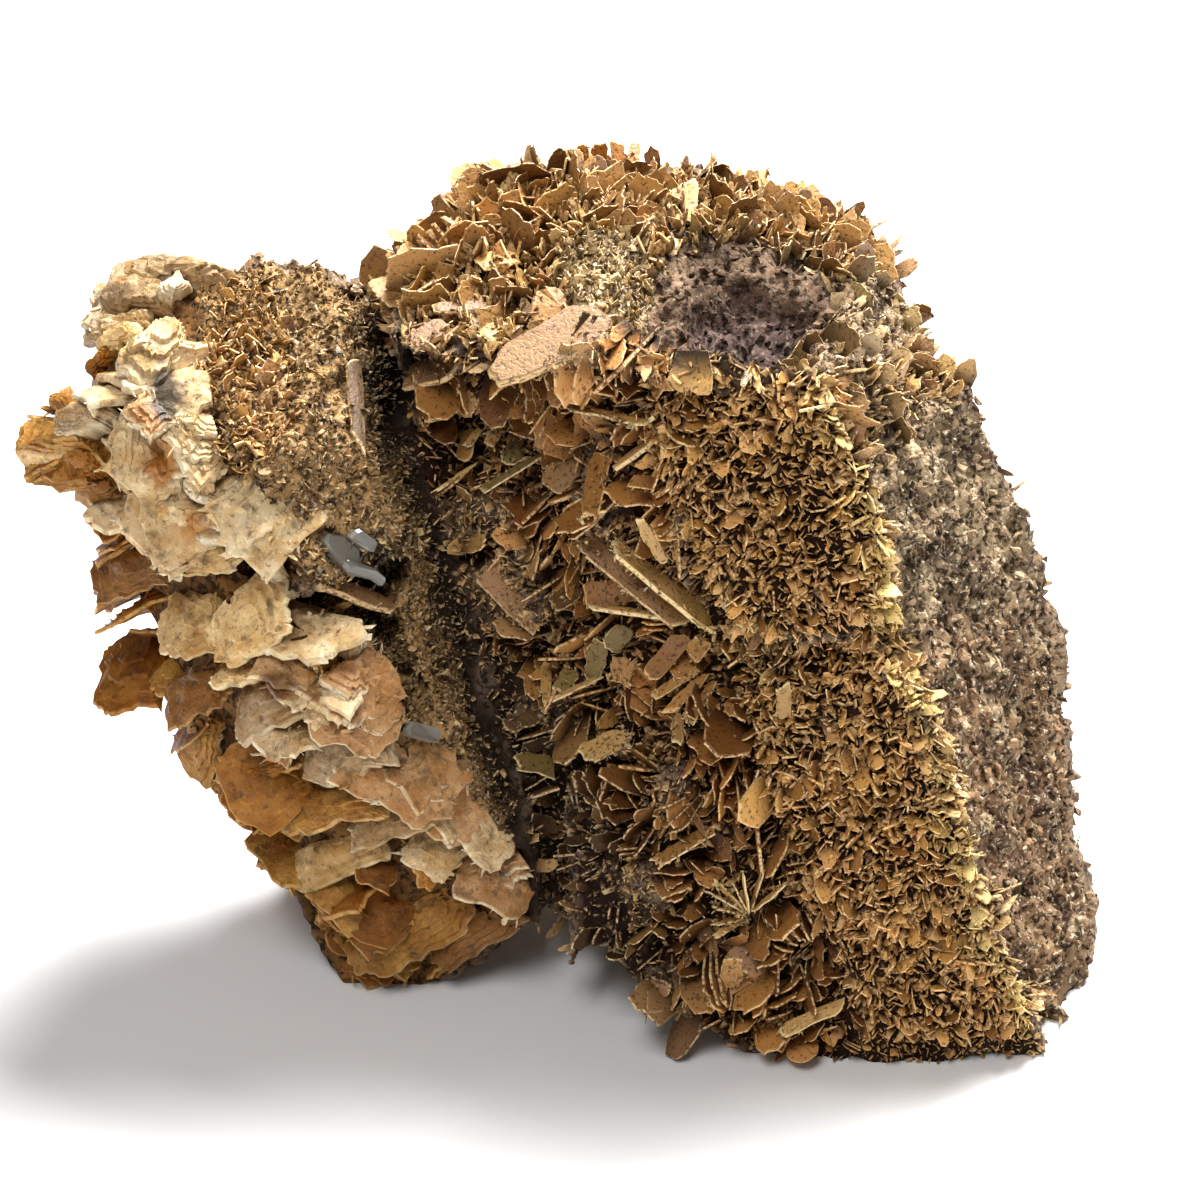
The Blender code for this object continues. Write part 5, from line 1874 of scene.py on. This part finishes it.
@dataclass
class LobePlates:
    """The shingled honey and cream plates of the lobe.

    Each layer is the spacing of its plates, and their smallest and largest size, in millimetres. Layers
    of plates no larger than hidden_mm are left out where the photograph doesn't show the lobe.
    """

    layers_mm: tuple[Triple, ...] = ((9.0, 12.0, 19.0), (6.0, 6.0, 11.0))
    leaves: tuple[int, ...] = (1, 2, 2, 3)
    apart_mm: Pair = (1.0, 2.2)
    hidden_mm: float = 12.0
    chalky_above_px: float = 345.0
    seed: int = 5

    # The colours of the plates' bodies, one of which each plate takes by chance
    CHALKY = ("#a48a68", "#b09a78", "#97805c", "#b8a486")
    CREAM = ("#d6b88c", "#dcc39a", "#c9a374", "#d2b68c", "#b98e60")
    HONEY = ("#a66f2c", "#985f1f", "#86531b", "#ae803c", "#7c4d1a")

    def tones(self, cream: bool, chalky: bool, chips: random.Random) -> PlateTones:
        """The colours of a plate that is chalky, cream or honey."""
        # A plate's second colour is its lighter thin edge, partly a painted highlight
        if chalky:
            return PlateTones(chips.choice(self.CHALKY), "#cebfa4")
        if cream:
            return PlateTones(chips.choice(self.CREAM), "#e2d0ae")
        return PlateTones(chips.choice(self.HONEY), "#c89a55")

    def grow(self, surface: Surface, index: int, size: float, forms: dict[Slot, PlateForm],
             chips: random.Random, solid: BVHTree) -> None:
        """Adds a plate at one point of the rock."""
        place, facing = surface.points[index], surface.facing[index]
        chalky = surface.row[index] < self.chalky_above_px
        past = surface.column[index] - float(along(HONEY_EDGE, surface.row[index])) + 200.0 * chalky
        cream = past > chips.gauss(0.0, 16.0) and (surface.seen[index] > 0.5 or chalky)
        slot = Slot.CREAM if cream else Slot.HONEY
        out = Vector(facing)
        stray = Vector(scattered(chips))
        stray *= chips.choice((0.6, 1.0, 1.0, 1.8))
        points_to = (VIEW.direction(-0.75, -0.65, 0.1) + out * 0.5 + stray * 0.35).normalized()
        nearer = VIEW.direction(0.0, 0.2, 1.4) if chalky else VIEW.direction(0.09, 0.54, 0.32)
        faces = (out + nearer + stray.yzx * 0.3).normalized()
        centre = Vector(place) + out * chips.uniform(-2.5, 0.3) + points_to * 1.0
        tones = self.tones(cream, chalky, chips)
        for _ in range(1 if chalky else chips.choice(self.leaves)):
            sizes = PlateSizes(
                size * chips.uniform(0.6, 1.2), size * chips.uniform(0.6, 1.2),
                chips.uniform(0.8, 1.5) if cream else chips.uniform(0.5, 0.9),
                dish=chips.uniform(0.2, 1.0) * size / 8.0, saw=chips.uniform(0.4, 1.0),
                steps=chips.uniform(0.1, 0.4), crumple=chips.uniform(0.4, 0.9))
            forms[slot].add(centre, points_to, faces, sizes, tones, chips, solid)
            step = points_to * chips.uniform(0.3, 1.6) + stray.zxy * 0.4
            centre = centre - faces * chips.uniform(*self.apart_mm) + step

    def build(self, surface: Surface, finish: bpy.types.Material) -> dict[Slot, bpy.types.Object]:
        """Grows the plates over the lobe.

        Args:
            surface: what the rock is like.
            finish: their material.

        Returns:
            The piece of each slot.
        """
        chips = random.Random(self.seed)
        forms = {Slot.HONEY: PlateForm(32), Slot.CREAM: PlateForm(40)}
        solid = solid_tree()
        order = list(np.flatnonzero(surface.zones[Zone.PLATES] * (1.0 - surface.cover) > 0.5))
        for spacing, smallest, largest in self.layers_mm:
            chips.shuffle(order)
            taken = np.empty((0, 3))
            for index in order:
                place = surface.points[index]
                if len(taken) and np.min(np.sum((taken - place) ** 2, axis=1)) < spacing ** 2:
                    continue
                taken = np.concatenate((taken, place[None, :]))
                if largest > self.hidden_mm or surface.seen[index] > 0.1:
                    self.grow(surface, index, chips.uniform(smallest, largest), forms, chips, solid)
        pieces = {}
        for slot, form in forms.items():
            pieces[slot] = form.object(slot.value)
            PieceMesh.finish(pieces[slot], slot, finish)
        return pieces


@dataclass
class FeatureCrystals:
    """The large crystals that can be told apart in the photograph, each set where it shows there."""

    features: tuple[Feature, ...]
    prefix: str = "large"
    sharp: bool = False
    seed: int = 17
    blade_thinner: float = 0.6
    blade_saw_mm: float = 0.3
    blade_crumple_mm: float = 0.15
    plate_saw: float = 1.6
    plate_crumple_mm: float = 0.7

    def build(self, rock: bpy.types.Object, finishes: Finishes) -> dict[Slot, bpy.types.Object]:
        """Makes one piece for each slot.

        Args:
            rock: the shaped rock.
            finishes: the material of each slot.

        Returns:
            The piece of each slot.
        """
        chips = random.Random(self.seed)
        pieces = {}
        sight = Sight(rock)
        forms = {slot: PlateForm(56, (0.86, 0.66, 0.42)) for slot in (Slot.HONEY, Slot.CREAM)}
        forms[Slot.TAN] = PlateForm(32, (), ())
        if self.sharp:
            forms = {Slot.CREAM: PlateForm(8, (), ())}
        for item in self.features:
            root, tip = sight.span(item)
            depth = (root - Vector(VIEW.location_mm)).length
            width = item.width_px * depth * VIEW.sensor_mm / VIEW.lens_mm / VIEW.frame_px
            tan = item.tone.slot is Slot.TAN
            sizes = PlateSizes(
                width, (tip - root).length, item.thickness_mm * (self.blade_thinner if tan else 1.0),
                item.dish_mm, self.blade_saw_mm if tan else self.plate_saw * item.saw_mm, item.steps_mm,
                self.blade_crumple_mm if tan else self.plate_crumple_mm)
            forms[item.tone.slot].add(
                (root + tip) / 2.0, tip - root, VIEW.direction(*item.faces), sizes, item.tone.plate, chips)
        for slot, form in forms.items():
            if not form.points:
                continue
            piece = form.object(f"{self.prefix}_{slot.value}", even=slot is not Slot.TAN and not self.sharp)
            PieceMesh.finish(piece, slot, finishes[slot])
            pieces[slot] = piece
        return pieces


@dataclass
class Studio:
    """A white paper floor and soft light from above and behind."""

    floor_m: float = 6.0
    key_watts: float = 17.0
    key_m: float = 0.36
    key_at_m: Triple = (0.14, 0.24, 0.62)
    fill_watts: float = 2.3
    fill_m: float = 0.25
    fill_at_m: Triple = (-0.12, -0.40, 0.62)
    aim_m: Triple = (0.0, 0.0, 0.05)
    sky: str = "#ffffff"
    sky_strength: float = 0.15

    def build(self) -> None:
        """Makes the floor, the lights and the sky."""
        mesh = bpy.data.meshes.new("floor")
        half = self.floor_m / 2.0
        mesh.from_pydata([(-half, -half, 0.0), (half, -half, 0.0), (half, half, 0.0), (-half, half, 0.0)], [],
                         [(0, 1, 2, 3)])
        mesh.materials.append(FloorFinish().material())
        linked("floor", mesh)
        self.light("key_light", self.key_at_m, self.key_watts, self.key_m)
        self.light("fill_light", self.fill_at_m, self.fill_watts, self.fill_m)
        world = bpy.data.worlds.new("studio")
        world.use_nodes = True
        sky = world.node_tree.nodes["Background"]
        sky.inputs["Color"].default_value = linear(self.sky)
        sky.inputs["Strength"].default_value = self.sky_strength
        bpy.context.scene.world = world
        bpy.context.scene.view_settings.view_transform = "Standard"

    def light(self, name: str, place: Triple, watts: float, size_m: float) -> None:
        """Adds a square light that faces the specimen."""
        data = bpy.data.lights.new(name, "AREA")
        data.energy = watts
        data.size = size_m
        made = linked(name, data)
        made.location = place
        made.rotation_euler = (Vector(self.aim_m) - Vector(place)).to_track_quat("-Z", "Y").to_euler()


def grow_crumbs(growth: Growth, plates: bpy.types.Object, scatter: ScatterTree, finishes: Finishes) -> None:
    """Grows small crystals in patches over large plates.

    Args:
        growth: what grows.
        plates: the plates that it grows on.
        scatter: the tree that places the crystals.
        finishes: the material of each slot.
    """
    mesh = plates.data
    points = PieceMesh.corners(mesh)
    patches = smooth(0.0, 0.35, ripple(points, 5.0, 13.0))
    PieceMesh.store(mesh, Zone.CRUMBS.value, patches)
    PieceMesh.store(mesh, "outwards", PieceMesh.facing(mesh))
    PieceMesh.store(mesh, "vigour", np.ones(len(points)))
    growth.build(plates, scatter, finishes)


def main() -> None:
    """Builds the specimen's looks and the studio round it."""
    VIEW.camera()
    Studio().build()
    waxy = WaxyFinish().material()
    finishes = {Slot.MATRIX: MatrixFinish().material(), Slot.TAN: BladeFinish().material(),
                Slot.HONEY: waxy, Slot.CREAM: waxy}
    rock, surface = Rock().build()
    scatter = ScatterTree()
    for growth in GROWTHS:
        growth.build(rock, scatter, finishes)
    plates = LobePlates().build(surface, waxy)
    large = FeatureCrystals(FEATURES).build(rock, finishes)
    FeatureCrystals(CLEAR_FEATURES, "clear", sharp=True).build(rock, {Slot.CREAM: ClearFinish().material()})
    for growth, piece in zip(CRUMBS, (plates[Slot.HONEY], plates[Slot.CREAM], large[Slot.TAN])):
        grow_crumbs(growth, piece, scatter, finishes)
    rock.data.shade_smooth()
    PieceMesh.finish(rock, Slot.MATRIX, finishes[Slot.MATRIX])


if __name__ == "__main__":
    main()
